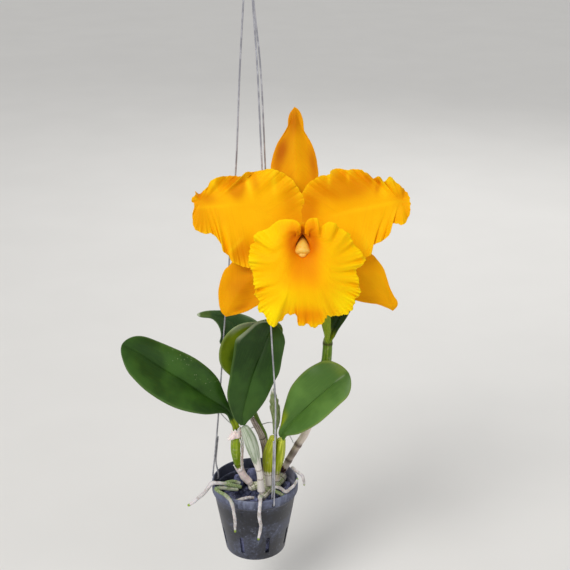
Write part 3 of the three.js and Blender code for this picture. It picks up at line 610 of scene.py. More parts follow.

# Each petal's midrib, its patches of painted shade and of painted highlight, and its upper and lower
# margins.
PETALS = {
    "petal_left": dict(
        midrib=[(-5, 1.5, 3), (-19, 9.5, 3.6), (-36, 15.5, 5), (-53, 19, 5.4), (-66, 20.5, 4.6),
                (-73, 20.4, 3.6)],
        painted_shade_patches=[(-46, 31, 5.5, 9, 6, 1.4), (-33, 33.6, 3.4, 8, 10, 0.6), (-8.9, 25.4, 8, 14, 0, 0.5),
              (-75, 8, 9, 24, 0, 0.6), (-68, 23, 8, 4, -15, 0.55), (-43.8, -16, 8, 11, -35, 0.85),
              (-60, 8, 10, 12, -20, 0.3), (-56, 30, 8, 8, 0, 0.35)],
        painted_highlight_patches=[(-38.2, 32.9, 1.6, 9, 14, 0.9), (-20.2, 33.5, 2, 8.5, 4, 0.8),
               (-62.6, 32.5, 1.6, 4.2, 20, 0.8), (-47.6, -10.8, 1.4, 8.6, -42, 0.6),
               (-60, 17, 16, 1.1, 4, 0.4), (-28, 10, 12, 14, 20, 0.3)],
        upper=[(0.8, 2.5, 4), (1.5, 9, 3.2), (1.8, 16, 3.2), (0.9, 23.6, 3.6), (-2.9, 29.7, 5.2),
               (-6.3, 34.9, 6), (-10.9, 38.9, 7), (-16.5, 41.7, 8.6), (-23.4, 43.4, 9), (-29, 42.3, 5),
               (-33.6, 41.6, 3), (-37, 41.4, 6.5), (-40.2, 40.9, 10), (-41, 38.3, 5), (-44, 38.3, 0.5),
               (-48.5, 38.5, -0.6), (-54, 38.2, 4), (-58.7, 37.7, 8.4), (-65, 34.9, 8), (-66.7, 31.4, 7),
               (-70.1, 28.1, 4.4), (-73.5, 25.8, -0.6), (-76.4, 27.2, 0.4), (-75.9, 25, 4.8),
               (-78.1, 22.9, 5.4), (-78.6, 20.1, 3)],
        lower=[(-6, -1.6, 3.2), (-13, -12, 2.6), (-25, -22.6, 3), (-38.2, -26.7, 4), (-43.9, -25.5, 6.4),
               (-49.6, -22.7, 7), (-53, -18.1, 4.6), (-56.5, -14.7, 7.6), (-55.9, -12.4, 3.4),
               (-58.1, -9.6, 5.6), (-61.5, -5, 3.8), (-65.5, -2.2, 6.6), (-70.1, -2.7, 7.4),
               (-75.3, 0.1, 7.4), (-77.5, 3.6, 6.4), (-78.3, 10.4, 5.2), (-76.9, 17.6, 3.6),
               (-78.6, 20.1, 3)],
    ),
    "petal_right": dict(
        midrib=[(5, 1.5, 3), (19, 9, 3.6), (36, 15.5, 5), (53, 20, 5.4), (66, 21.5, 4.6),
                (72, 20.6, 3.8)],
        painted_shade_patches=[(30, 31, 24, 11, 4, 1.1), (72, 12, 9, 14, 0, 0.5), (48, 38, 3, 5, 0, 0.6),
              (71, 25, 6, 5, 20, 0.45), (4, 16, 7, 10, -10, 0.75), (54.5, 33, 1.6, 6, -12, 0.8),
              (50, 4, 14, 10, 30, 0.2)],
        painted_highlight_patches=[(61.7, 36.5, 3.6, 4, 0, 0.8), (58.6, 29, 3, 6, 0, 0.5), (46.4, -10.7, 3.6, 9.6, 10, 0.7),
               (46, 15.6, 28, 1.6, 12, 0.5), (19, 37, 1.4, 5, 0, 0.6), (33, 39, 1.4, 4, 0, 0.6),
               (66, 12, 8, 6, 10, 0.35)],
        upper=[(-0.8, 2.5, 4), (-1.5, 9, 3.2), (-1.8, 16, 3.2), (-0.9, 24, 3.6), (2.9, 30.9, 5.4),
               (7.4, 35.4, 6.6), (13.1, 38.3, 8.4), (18.8, 39.4, 6), (21.1, 42.3, 2.4), (25.6, 43.8, 0.6),
               (31.3, 42.9, 2.6), (37, 43.4, 0.8), (42.2, 42.9, 4), (43.9, 41.2, 5), (47.2, 40, 4.4),
               (47.8, 37.2, 1.4), (49.5, 36, 1), (53, 37.7, 4.4), (55.4, 37.7, 7), (56.2, 34.3, 2.6),
               (59.8, 35.4, 7.4), (62.1, 37.9, 9.6), (66.6, 34.3, 7.6), (72.3, 29.7, 2.6),
               (75.8, 25.2, 3.6), (77.3, 19.5, 6.6)],
        lower=[(6, -1.6, 3.2), (16, -13, 2.6), (30, -20.4, 2.6), (42, -21, 4.6), (48.6, -17.6, 8),
               (49.8, -14.8, 6.6), (49.2, -11.4, 2.6), (54.1, -9.6, 6.4), (58.7, -6.7, 4.4),
               (62.7, -2.2, 7.4), (62.7, 1.9, 3.6), (65.5, 4.7, 5), (71.8, 4.1, 8.6), (74.6, 7, 6.4),
               (76.9, 12.6, 4.8), (77.3, 19.5, 6.6)],
    ),
}


def add_sepals_and_petals():
    sepal = petal_finish("sepal_tissue", "E39A02", "EBA403", "BE6602", "F6B205")
    petal = petal_finish("petal_tissue", "FBB602", "FFBE06", "DE8C00", "FFCC10")
    for seed, (node, shape) in enumerate(SEPALS.items(), start=10):
        tepal(node, sepal, "sepal", **shape, thickness=1.3, frill=0.12, pitch=14, around=260,
              across=30, seed=seed, arch=-1.2)
    for seed, (node, shape) in enumerate(PETALS.items(), start=20):
        tepal(node, petal, "petal", **shape, thickness=1.1, frill=0.75, pitch=4.6, around=440,
              across=40, seed=seed, calm=0.12, swell=0.9)


# ---- Flower: lip and column --------------------------------------------------------------

# The lip's tube, close round the column: each ring's centre, half-width and half-height, and
# how far it narrows towards its top.
LIP_TUBE = [
    ((0, -1.2, 6.5), 4.6, 4.8, 0.1),
    ((0, -3.6, 15), 4.8, 5.4, 0.3),
    ((0, -7.8, 23.5), 5.1, 7.2, 0.46),
    ((0, -10.4, 30), 5.6, 8.4, 0.46),
]
# Half of the slit along its top in degrees, the height of the flare's rise, and the pitches of
# its frills and of the finer ruffles on them.
LIP_SLIT = 4
LIP_RISE = 34.8
LIP_FRILL_PITCH = 7.4
LIP_RUFFLE_PITCH = 3.6
# The lip's margin, from one side of the slit to the other.
LIP_MARGIN = [
    (-1.5, -1.8, 32.6), (-1.6, 3, 34.8), (-3.3, 6.3, 35.4), (-7.2, 7.8, 35), (-12.8, 7.9, 33.6),
    (-18.3, 6.3, 32), (-21.6, 3.5, 31), (-26.1, 0.7, 31.6), (-31.1, -1, 33), (-33.6, -4.2, 32),
    (-32.7, -7.6, 27), (-36, -9.8, 26), (-37.1, -14.8, 29), (-37.7, -20.3, 30.6), (-36.5, -25.9, 26),
    (-34.9, -30.3, 27), (-33.8, -38.1, 31), (-32.7, -41.9, 26), (-33.3, -45.3, 29.4),
    (-29.9, -49.2, 27), (-31.6, -53, 29.4), (-30.5, -55.8, 28.6), (-26.1, -59.1, 29.2),
    (-23.3, -64.7, 30.4), (-20.5, -67.7, 30), (-18.3, -66.3, 28), (-17.2, -63.6, 26.6),
    (-13.9, -61.9, 26.4), (-12.2, -59.1, 27.6), (-8.3, -58.4, 28.6), (-6.1, -57, 29),
    (-3.9, -59.1, 28), (-2.8, -65.8, 26.4),
    (1.1, -66.3, 27), (3.8, -65.2, 26), (7.2, -67.4, 27.2), (11.6, -66.3, 26.2), (14.9, -63.6, 28.4),
    (17.2, -59.1, 31), (21.5, -59.7, 28), (26, -59.1, 26), (30.4, -58, 29.6), (34.3, -55.2, 27),
    (36.5, -49.2, 30), (38.2, -45.8, 26), (41, -42.5, 29.6), (39.3, -38.6, 26), (38.8, -33.6, 30.6),
    (37.1, -27.6, 26.6), (41.5, -23.7, 30.6), (43.5, -20.3, 27), (40.4, -14.8, 30), (37.1, -10.3, 27),
    (31.5, -1.4, 31), (26, 1.8, 28.6), (23.3, 4.6, 31.6), (18.3, 6.3, 32.6), (13.8, 3.6, 31.8),
    (11.9, 2.6, 32.4), (10.4, 8.2, 35.4), (7.6, 9, 35.4), (3.9, 7.9, 35.6), (1.7, 4, 35), (1.5, -1.8, 32.6),
]
# Deeper orange patches of the lip, given as a petal's are: partly its own orange round and below the
# column, partly painted shade by the slit and in the trough of the front lobe.
LIP_ORANGE_AND_SHADE = [
    (-6.4, -8, 6.6, 9, 8, 0.76), (6.4, -8.5, 6.6, 9, -8, 0.76), (0, -22, 14, 15, 0, 0.62),
    (-4.6, -32, 5, 8, 10, 0.12), (7.6, -33, 6, 9, -12, 0.2), (3, -59, 15, 7, 0, 0.6),
    (-34, -40, 5, 5, 0, 0.2), (6, 3, 5, 7, 0, 0.5), (-6, 1, 5, 6, 0, 0.35),
]
# Where the margin's fine ruffles are stronger, and where its frills are weaker.
LIP_RUFFLES = [(35, -48, 12, 12, 0, 1.2), (-34, -20, 6, 22, 0, 0.5), (-26, -58, 8, 8, 0, 0.5)]
LIP_SMOOTH = [(-22, -60, 13, 11, 0, 0.8), (4, -64, 14, 8, 0, 0.5)]
# Painted highlights: brighter patches.
LIP_HIGHLIGHTS = [
    (-24, -4, 9, 8, 0, 0.5), (30, -50, 10, 10, 0, 0.9), (-21, -58, 10, 9, 0, 1.0),
    (-12, -44, 5, 8, 30, 0.5), (-34, -22, 4, 3, 0, 0.6), (-34, -36, 4, 3, 0, 0.6),
    (34, -26, 6, 3.4, 10, 0.5),
]


def lip_finish():
    """Bright yellow towards the margin, orange round the column, painted highlights on raised folds, and
    painted shade in fold valleys, by the slit and, in red-brown, deep inside the tube.
    """
    f, veins, cloud, skin = flower_tissue("lip_tissue", 0.5, (5.0, 0.4), (22.0, 1.0), 70.0)
    warmth = f.attribute("warmth") + (veins - 0.5) * 0.12
    layers = [
        (cloud.between(0.3, 0.7), "FCC002"),
        (f.attribute("light"), "FFD806"),
        # Deeper orange: the lip's own round the column, and painted shade.
        (warmth.between(0.0, 0.6), "F39C00"),
        (warmth.between(0.4, 1.0), "DA7400"),
        # Painted shade: darker along the top of the tube by the slit, and a darker red deep inside the
        # tube.
        (f.attribute("roof") * 0.8, "8A4200"),
        (f.attribute("deep") * (1.0 - f.attribute("underside")), "C43400"),
    ]
    return f.finished("FAB602", layers, **skin)


def add_lip(around=620, tube_steps=16, flare_steps=48):
    """The lip: rolled round the column, slit along its top, with a broad frilled front."""
    rim = evenly(LIP_MARGIN, around + 1)
    along = reach_along(rim)
    quiet = softened(rim, 151)
    folds = softened(rim, 25)
    turn = np.radians(90 + LIP_SLIT + (360 - 2 * LIP_SLIT) * np.linspace(0, 1, around + 1))
    above = np.clip(np.sin(turn), 0, 1)
    rows = [
        points_of(x + wide * np.cos(turn) * (1 - taper * above), y + tall * np.sin(turn), z)
        for (x, y, z), wide, tall, taper in LIP_TUBE
    ]
    throat = rows[-1]
    ahead = unit(np.gradient(softened(quiet, 91), axis=0) * (1, 1, 0))
    inward = points_of(-ahead[:, 1], ahead[:, 0], 0)
    span = np.linalg.norm((quiet - throat)[:, :2], axis=1)[:, None]
    inset = softened(quiet + inward * np.minimum(0.45 * span, 17), 101)
    inset[:, 2] = LIP_RISE
    for share, height, dip in ((0.3, LIP_RISE - 0.6, 2.6), (0.65, LIP_RISE + 1.2, 2.2)):
        rows.append((1 - share) * throat + share * inset)
        rows[-1][:, 2] = height - dip * above
    rows += [inset, quiet]
    mouth = (len(LIP_TUBE) - 1) / (len(rows) - 1)
    flare = 1 - (1 - np.linspace(0, 1, flare_steps + 1)) ** 1.2
    tube = np.linspace(0, mouth, tube_steps, endpoint=False)
    shares = np.concatenate([tube, mouth + (1 - mouth) * flare])
    grid = smooth(np.stack(rows).reshape(len(rows), -1), shares)
    grid = grid.reshape(len(shares), around + 1, 3).transpose(1, 0, 2).copy()

    out = np.concatenate([np.zeros(tube_steps), flare])
    steps = np.linalg.norm(np.diff(grid[:, ::-1], axis=1), axis=2)
    from_rim = np.hstack([np.zeros((around + 1, 1)), np.cumsum(steps, axis=1)])[:, ::-1]
    flaring = step_between(0.2, 0.75, out)

    def fading(values, reach):
        """Values along the margin that fade out over a distance from it."""
        fade = np.exp(-((from_rim / reach) ** 1.5)) * flaring
        return values[:, None] * (fade if values.ndim == 1 else fade[..., None])

    grid += fading(folds - quiet, 13) + fading(rim - folds, 7)
    lobes = step_between(30, 60, np.minimum(along, along[-1] - along)) * 0.75 + 0.25
    even = lobes * (1 - np.clip(patches(rim, LIP_SMOOTH), 0, 1))
    drift = wander(along, 19, 41)
    wave = ripple(along, LIP_FRILL_PITCH, 2.5 * drift) * (0.7 + 0.3 * wander(along, 15, 42))
    ruffle = ripple(along, LIP_RUFFLE_PITCH, 3.0 * drift) * (0.45 + patches(rim, LIP_RUFFLES))
    grid[..., 2] += fading(1.1 * even * wave, 8) + fading(lobes * ruffle, 3.4)
    teeth = wander(along, 2.1, 43) + 0.6 * wander(along, 1.1, 44)
    outward = unit((rim - np.array(LIP_TUBE[-1][0])) * (1, 1, 0))
    grid += fading((0.75 * lobes * teeth)[:, None] * outward, 2)

    raised = (rim - quiet)[:, 2, None] / 4
    # Deeper orange: partly the lip's own round the column, partly painted shade, also in the valleys of the
    # margin's folds.
    warmth = patches(grid, LIP_ORANGE_AND_SHADE) + 0.22 * np.clip(-raised, 0, 1) * out**7
    # Paler: painted highlights in patches and on raised folds, and a pale margin where light shines through
    # the thin tissue.
    light = patches(grid, LIP_HIGHLIGHTS) + 0.5 * np.clip(raised, 0, 1) * out**5 + 0.6 * out**30
    # Painted shade along the top of the tube on both sides of the slit.
    roof = sum(np.exp(-(((turn - top * math.pi) / 0.5) ** 2)) for top in (0.5, 2.5))
    roof = roof[:, None] * step_between(0.45, 0.15, out) * step_between(6, 24, grid[..., 2])
    from_mouth = np.hypot(grid[..., 0], grid[..., 1] + 12)
    body = shell(
        in_flower(grid), points_of(along[:, None], from_mouth) / 10, 1.1 - 0.75 * out**3, FLOWER_FACING,
        # The painted shade along the top of the tube also deepens the orange.
        warmth=np.clip(warmth + roof, 0, 1),
        light=np.clip(light, 0, 1),
        # The inside of the tube is painted a darker red: painted shade deep in the throat.
        deep=step_between(30.5, 25, grid[..., 2]) * (out < 0.2),
        roof=np.clip(roof, 0, 1),
    )
    add_piece("lip", [body], lip_finish())


def wax_finish(name, base, tint, mark):
    """Waxy tissue of the column and its cap, tinted with orange where mark is given: painted shade low on
    the column and along its sides, and a line along the cap's groove.
    """
    f = Finish(name, Subsurface_Weight=0.3, Subsurface_Radius=(1.0, 0.6, 0.3),
               Subsurface_Scale=0.0018, Coat_Weight=0.15, Coat_Roughness=0.3)
    cloud = f.noise(420.0)
    layers = [(cloud.between(0.35, 0.7), tint), (f.attribute("warmth"), mark)]
    return f.finished(base, layers, 0.38 + cloud * 0.15, cloud, 0.2, 0.2)


def add_column():
    """The column arches out of the throat and broadens to a hood over the anther cap."""
    path = [(0, 0.2, 2.2), (0, -0.4, 9), (0, -3.6, 18), (0, -8.6, 25), (0, -13.4, 29.5),
            (0, -16.2, 31.3)]
    share = np.linspace(0, 1, 70)
    close = rounded_ends(share, 0.07)
    wide = smooth([2.4, 2.0, 1.0, 2.4, 4.6, 5.9], share) * close
    tall = smooth([2.4, 2.5, 2.5, 3.2, 3.9, 3.6], share) * close

    def hood(turn, place):
        """A ridge along the top and, near the end, a shoulder on each side."""
        aside = np.minimum(np.abs(turn - 6.0), np.abs(turn - 3.42))
        shoulders = 0.16 * np.exp(-((aside / 0.32) ** 2)) * step_between(0.75, 0.95, place)
        return (1 + 0.12 * np.clip(np.sin(turn), 0, 1) ** 10) * (1 + shoulders)

    grid, _ = limb_grid(evenly(path, len(share)), wide, 48, hood, tall, start=(1, 0, 0))
    brim = np.abs(np.cos(circle(48))) ** 3
    # Orange low in the throat and along the sides: painted shade where the column sinks into the throat and
    # turns away.
    warmth = np.clip(1 - step_between(0.5, 0.82, share)[:, None] + 0.5 * brim, 0, 1) * 0.85
    column_wax = wax_finish("column_wax", "EEBA3E", "F4C85A", "DE9414")
    add_piece("column", [solid(in_flower(grid), warmth=warmth)], column_wax)

    cap = ball(32, 48)[..., [0, 2, 1]]
    groove = np.exp(-((cap[..., 0] / 0.16) ** 2)) * np.clip(cap[..., 2], 0, 1)
    broader = 1 + 0.12 * cap[..., 1]
    cap = cap * (2.9, 1.9, 1.8) * (1 - 0.1 * groove)[..., None]
    cap[..., 0] *= broader
    turn_points(cap, 1, 2, -30)
    cap_wax = wax_finish("cap_wax", "F0B440", "F4C258", "E09C28")
    body = solid(in_flower(cap + (0, -16.5, 30.4)), warmth=groove * 0.5)
    add_piece("anther_cap", [body], cap_wax)


# ---- Leaves -----------------------------------------------------------------------------


LEAF_THICKNESS = 1.7
LEAF_BEND = 1.3


def blade_frame(spine, share, facing, step=0.004):
    """A blade's spine, and the directions to its right and out of its face, at some shares."""
    ahead = smooth(spine, share + step) - smooth(spine, share - step)
    side = unit(np.cross(ahead, facing))
    return smooth(spine, share), side, unit(np.cross(side, ahead))


def marked(places, spots):
    """The sum of some spots: each has a strength, and soft steps that bound it."""
    total = np.zeros(places["aside"].shape)
    for strength, *steps in spots:
        for place, *ends in steps:
            strength = strength * (step_between(*ends, places[place]) if ends else places[place])
        total = total + strength
    return total


def leaf(node, finish, spine, left, right, facing, fold, marks, seed, tip=0.14, sway=0.9, curl=0.0,
         keel=0.9, rows=110):
    """A leathery blade: two convex halves that rise from a sunken midrib with a keel below.

    Its spine, half-widths and fold are the solid's own. It closes to a round end over its
    last share, tip. The left margin curls forward by curl near the end. marks lists spots for
    its finish, bounded along it, aside of its midrib or by how near the margin they are.
    """
    share = 1 - (1 - np.linspace(0, 1, rows + 1)) ** 1.5
    centre, side, up = blade_frame(spine, share, facing)
    closing = np.sqrt(1 - np.clip((share - 1 + tip) / tip, 0, 1) ** 2)[:, None]
    lift = np.radians(fold[0] + (fold[1] - fold[0]) * share)
    q = np.linspace(0, 1, 16) ** 1.3
    angle = lift[:, None] * (1 + LEAF_BEND * (0.5 - (q[1:] + q[:-1]) / 2))
    zero = np.zeros((rows + 1, 1))
    steps = np.cos(angle) * np.diff(q), np.sin(angle) * np.diff(q)
    run, rise = (np.hstack([zero, np.cumsum(step, axis=1)]) for step in steps)
    halves = []
    for sign, widths in ((-1, left), (1, right)):
        width = smooth(widths, share)[:, None] * closing
        height = width * rise + sway * wander(share, 0.14, seed + sign)[:, None] * q**2 * closing
        if sign < 0:
            height = height + curl * step_between(0.4, 0.6, share)[:, None] * q**7 * closing
        half = scaled(sign * width * run, side) + scaled(height, up)
        halves.append(np.dstack([centre[:, None] + half, sign * width * q]))
    grid, aside = np.split(np.hstack([halves[0][:, ::-1], halves[1][:, 1:]]), [3], axis=2)
    aside = aside[..., 0]
    margin = np.concatenate([q[::-1], q[1:]])
    ridge = np.exp(-((aside / 1.5) ** 2)) * closing
    grid = grid - scaled(0.75 * keel * ridge, up)
    places = {"along": share[:, None], "aside": aside, "margin": margin}
    places["midrib"] = np.exp(-((aside / 0.9) ** 2))
    values = {key: marked(places, marks.get(key, ())) for key in ("yellowing", "speckled", "bleached")}
    near_end = np.maximum(margin, np.clip((share[:, None] - 0.9) * 10, 0, 1) ** 3)
    depth = (LEAF_THICKNESS * (1 - 0.55 * margin**3) + keel * ridge) * (0.35 + 0.65 * closing)
    uv = points_of(aside, reach_along(centre)[:, None]) / 10
    body = shell(grid, uv, depth, facing, margin=step_between(0.8, 1.0, near_end), **values)
    add_piece(node, [body], finish)


def leaf_finish(name, shade, light, rim, below):
    """Leathery green with fine lengthwise veins, a slightly paler rim and some pale specks."""
    f = Finish(name, Coat_Weight=0.06, Coat_Roughness=0.25, Specular_IOR_Level=0.2)
    aside, along = f.uv()
    cloud = f.noise(34.0, 3.0)
    blotch = f.noise(150.0, 3.0, 0.6)
    fibres = f.strands(2.0, aside * 13.0, along * 0.8)
    yellow = (f.attribute("yellowing") + (cloud - 0.5) * 0.4) * 1.1
    speckled = f.specks(420.0, 0.2, 0.1) * blotch.between(0.42, 0.52) * f.attribute("speckled")
    layers = [
        (cloud.between(0.36, 0.64), light),
        (fibres.between(0.45, 0.75) * 0.3, light),
        (blotch.between(0.55, 0.78) * 0.3, shade),
        (aside.math("ABSOLUTE").between(0.11, 0.02) * 0.45, shade),
        (yellow.between(0.15, 0.95), "8A9C18"),
        (f.attribute("margin").between(0.55, 1.0) * 0.4, rim),
        (speckled * 0.55, "9DAE80"),
        # Pale dry tissue where given, and painted highlight on bands of curled margins.
        (f.attribute("bleached"), "A9B79A"),
        (f.attribute("underside"), below),
    ]
    relief = fibres * 0.5 + f.noise(900.0) * 0.2 + blotch * 0.6
    return f.finished(shade, layers, 0.36 + cloud * 0.16 + speckled * 0.3, relief, 0.35, 0.35)


# Keeps a mark to the left of the midrib.
LEFT_HALF = ("aside", 0, -1e-6)
# Each leaf's spine, half-widths and facing, its fold in degrees at its foot and tip, and its
# marks. A mark has a strength, and soft steps between two places that bound it.
LEAVES = {
    "leaf_left": dict(
        spine=[(-14.2, -10.5, 113.6), (-16.4, -12, 122), (-21.5, -14, 133), (-36, -17, 145.5),
               (-53, -20, 160), (-71, -23, 174), (-87, -25, 187), (-98.5, -26, 194)],
        left=[3.2, 3.2, 3.9, 16.6, 24.6, 24, 18.4, 12.5], right=[3.2, 3.2, 4, 16, 19.6, 18, 14, 11],
        facing=(0.25, -0.72, 0.65), fold=(30, 6), tip=0.17, seed=1,
        marks=dict(
            speckled=[(1, ("aside", 2, 8), ("along", 0.35, 0.5), ("along", 0.8, 0.65))],
            yellowing=[(1.3, ("along", 0.22, 0.1)), (0.1, ("aside", 2, -8))],
        ),
    ),
    "leaf_centre": dict(
        spine=[(-9, -16.3, 121), (-8.8, -16.6, 130), (-5.4, -16.2, 145.6), (-1.4, -15, 161),
               (2.8, -12.6, 172.5), (7.6, -9, 183.3), (11.4, -5, 192.5), (16, 1, 199)],
        left=[1.8, 8.2, 16.8, 18.6, 21.5, 24.4, 16.6, 9], right=[1.8, 8, 14.6, 17.4, 18.5, 16, 14.6, 14],
        facing=(0.28, -0.9, 0.33), fold=(18, 8), seed=4, curl=1.2,
        marks=dict(
            yellowing=[(0.16, ("along", 0.62, 0.2), ("aside", -14, 4))],
            # Painted highlight on a band of the curled left margin.
            bleached=[(0.6, ("along", 0.66, 0.76), ("margin", 0.86, 0.93), LEFT_HALF)],
        ),
    ),
    "leaf_pale": dict(
        spine=[(-3, 6.6, 117), (-6, 5.4, 132), (-9, 4, 152), (-9.4, 3, 169), (-3, 3.4, 181),
               (9, 5, 188.4), (22, 7, 194.4)],
        left=[2, 5.6, 7.4, 18.6, 21, 14, 11], right=[2, 8, 12, 14, 12, 10, 8],
        facing=(0, -0.98, 0.2), fold=(30, 14), tip=0.12, seed=7, curl=2.6,
        marks=dict(
            yellowing=[(0.5, ("aside", -5, -14), ("along", 0.9, 0.6))],
            # Painted highlight on a band of the curled left margin.
            bleached=[(0.7, ("along", 0.62, 0.7), ("margin", 0.8, 0.86), LEFT_HALF)],
        ),
    ),
    "leaf_drooping": dict(
        spine=[(-0.8, 15.4, 118.4), (0, 18, 142), (-2, 20, 163), (-8, 20.6, 181), (-18.5, 19.6, 193.4),
               (-31, 15, 200.6), (-44, 11, 203)],
        left=[2, 9, 13, 17, 18, 3.8, 2.4], right=[2, 10, 15, 19, 9, 3.8, 1.8],
        facing=(-0.35, -0.75, 0.55), fold=(30, 8), tip=0.1, sway=0.6, seed=10,
        marks=dict(
            bleached=[(1, ("along", 0.965, 0.99))],
            yellowing=[(0.3, ("along", 0.8, 0.9))],
        ),
    ),
    "leaf_right": dict(
        spine=[(22.6, -5.4, 104), (24.6, -9, 112), (32, -12.5, 124), (43, -15, 137),
               (54.5, -17, 150), (64.5, -19, 160.5), (73, -20, 168)],
        left=[3.4, 4.6, 12, 20.3, 21.6, 19, 14], right=[3.2, 5.6, 14.2, 18, 17.8, 16.5, 15],
        facing=(-0.3, -0.78, 0.55), fold=(30, 6), tip=0.2, seed=13, keel=0.5,
        marks=dict(
            yellowing=[(1.2, ("along", 0.42, 0.2), ("aside", -2, -7)),
                       (0.45, ("along", 0.7, 0.96), ("aside", 6, -4)),
                       (0.3, ("margin", 0.8, 1), ("along", 0.6, 0.8))],
            bleached=[(0.45, ("midrib",), ("along", 0.78, 0.86), ("along", 0.97, 0.92))],
        ),
    ),
    "leaf_flowering": dict(
        spine=[(58.4, 3.4, 183), (62.6, 7.6, 192), (69.6, 14, 205), (74.3, 20, 219), (77, 28, 241),
               (78, 34, 256)],
        left=[3.4, 6.4, 10, 12, 11, 9], right=[3.4, 5.4, 8, 10, 9.5, 8],
        facing=(-0.5, -0.8, 0.35), fold=(35, 12), tip=0.2, seed=16,
        marks=dict(yellowing=[(0.9, ("along", 0.3, 0.02))]),
    ),
}
# Each leaf's finish: its name, shade, light, rim and underside.
LEAF_SKINS = {
    "leaf_left": ("leaf_left_green", "22400E", "395E1C", "607C3C", "4F6B2E"),
    "leaf_centre": ("leaf_dark", "1E3A0C", "34561C", "5C7838", "45602A"),
    "leaf_pale": ("leaf_pale_green", "38540A", "5E7812", "93A468", "6E8436"),
    "leaf_drooping": ("leaf_grey_green", "2C4620", "42603A", "7E946A", "5F7A55"),
    "leaf_right": ("leaf_green", "4A6E2C", "5C8238", "8A9A50", "5F7B38"),
    "leaf_flowering": ("leaf_shaded", "182E08", "2A4812", "4C6A2C", "3E5C24"),
}


def add_leaves():
    for node, shape in LEAVES.items():
        leaf(node, leaf_finish(*LEAF_SKINS[node]), **shape)


# ---- Pseudobulbs ------------------------------------------------------------------------


def bulb_body(path, radii, rings, dry, seed, ribs=0.05, stains=(), blunt=0.03, rows=110):
    """A stem swollen along its length, ribbed as it shrinks, with scars where sheaths stood.

    dry lists how dry its skin is from its foot to its top. stains are dark lengths: where, how
    long and how strong.
    """
    share = np.linspace(0, 1, rows + 1)
    width = smooth(radii, share) * rounded_ends(share, blunt)
    for place, swell in rings:
        width = width * (1 + swell * np.exp(-(((share - place) / 0.011) ** 2)))
    scars = [(place + 0.006, 0.009, 1) for place, _ in rings] + list(stains)
    scar = np.zeros_like(share)
    for place, reach, strength in scars:
        scar = np.maximum(scar, strength * np.exp(-(((share - place) / reach) ** 2)))
    fade = np.sin(math.pi * np.clip(share, 0.02, 0.98))[:, None] ** 0.5
    phases = np.random.default_rng(seed).uniform(0, 2 * math.pi, 5)
    counts, heights = (5, 8, 11, 14, 3), (0.45, 0.5, 0.3, 0.2, 0.3)

    def lobes(turn, place):
        waves = (height * np.cos(count * turn + phase + 0.8 * place)
                 for count, height, phase in zip(counts, heights, phases))
        return 1 + ribs * fade * sum(waves)

    grid, uv = limb_grid(evenly(path, len(share)), width, 44, lobes)
    return solid(grid, uv, scar=scar[:, None], dry=smooth(dry, share)[:, None], foot=share[:, None])


def bulb_finish(name, main, streak, dry, scar="4A3626", streaks=0.7, bloom=0.0):
    """Stem skin: lengthwise streaks, a dry papery part, dark scars, a silvery bloom and painted light at
    its foot.
    """
    f = Finish(name, Specular_IOR_Level=0.25, Coat_Weight=0.04, Coat_Roughness=0.35)
    turn, along = f.uv()
    angle = turn * (2 * math.pi)
    cosine, sine = angle.math("COSINE"), angle.math("SINE")
    lines = f.strands(3.0, cosine * 4.5, sine * 4.5, along * 0.5)
    fine_lines = f.strands(2.0, cosine * 13.0, sine * 13.0, along * 1.1)
    cloud = f.noise(210.0, 3.0, 0.6)
    dryness = (f.attribute("dry") + (lines - 0.5) * 0.9 + (cloud - 0.5) * 0.3).between(0.4, 0.62)
    layers = [
        (lines.between(0.42, 0.6) * streaks, streak),
        (cloud.between(0.52, 0.75) * 0.2, dry),
        (fine_lines.between(0.5, 0.7) * bloom, "C9CDBE"),
        (dryness, f.mix(fine_lines.between(0.4, 0.65), tone(dry), tone("ECE2DA"))),
        # Painted light: the foot of each stem is lightened to lift the shade that falls on it.
        (f.attribute("foot").between(0.13, 0.03) * 0.6, "FAEEEA"),
        (f.specks(900.0, 0.22, 0.1) * cloud.between(0.45, 0.6) * 0.5, scar),
        (f.attribute("scar") * 0.85, scar),
    ]
    relief = lines * 0.8 + fine_lines * 0.5 + cloud * 0.3
    return f.finished(main, layers, 0.45 + dryness * 0.3 + cloud * 0.1, relief, 0.5, 0.5)


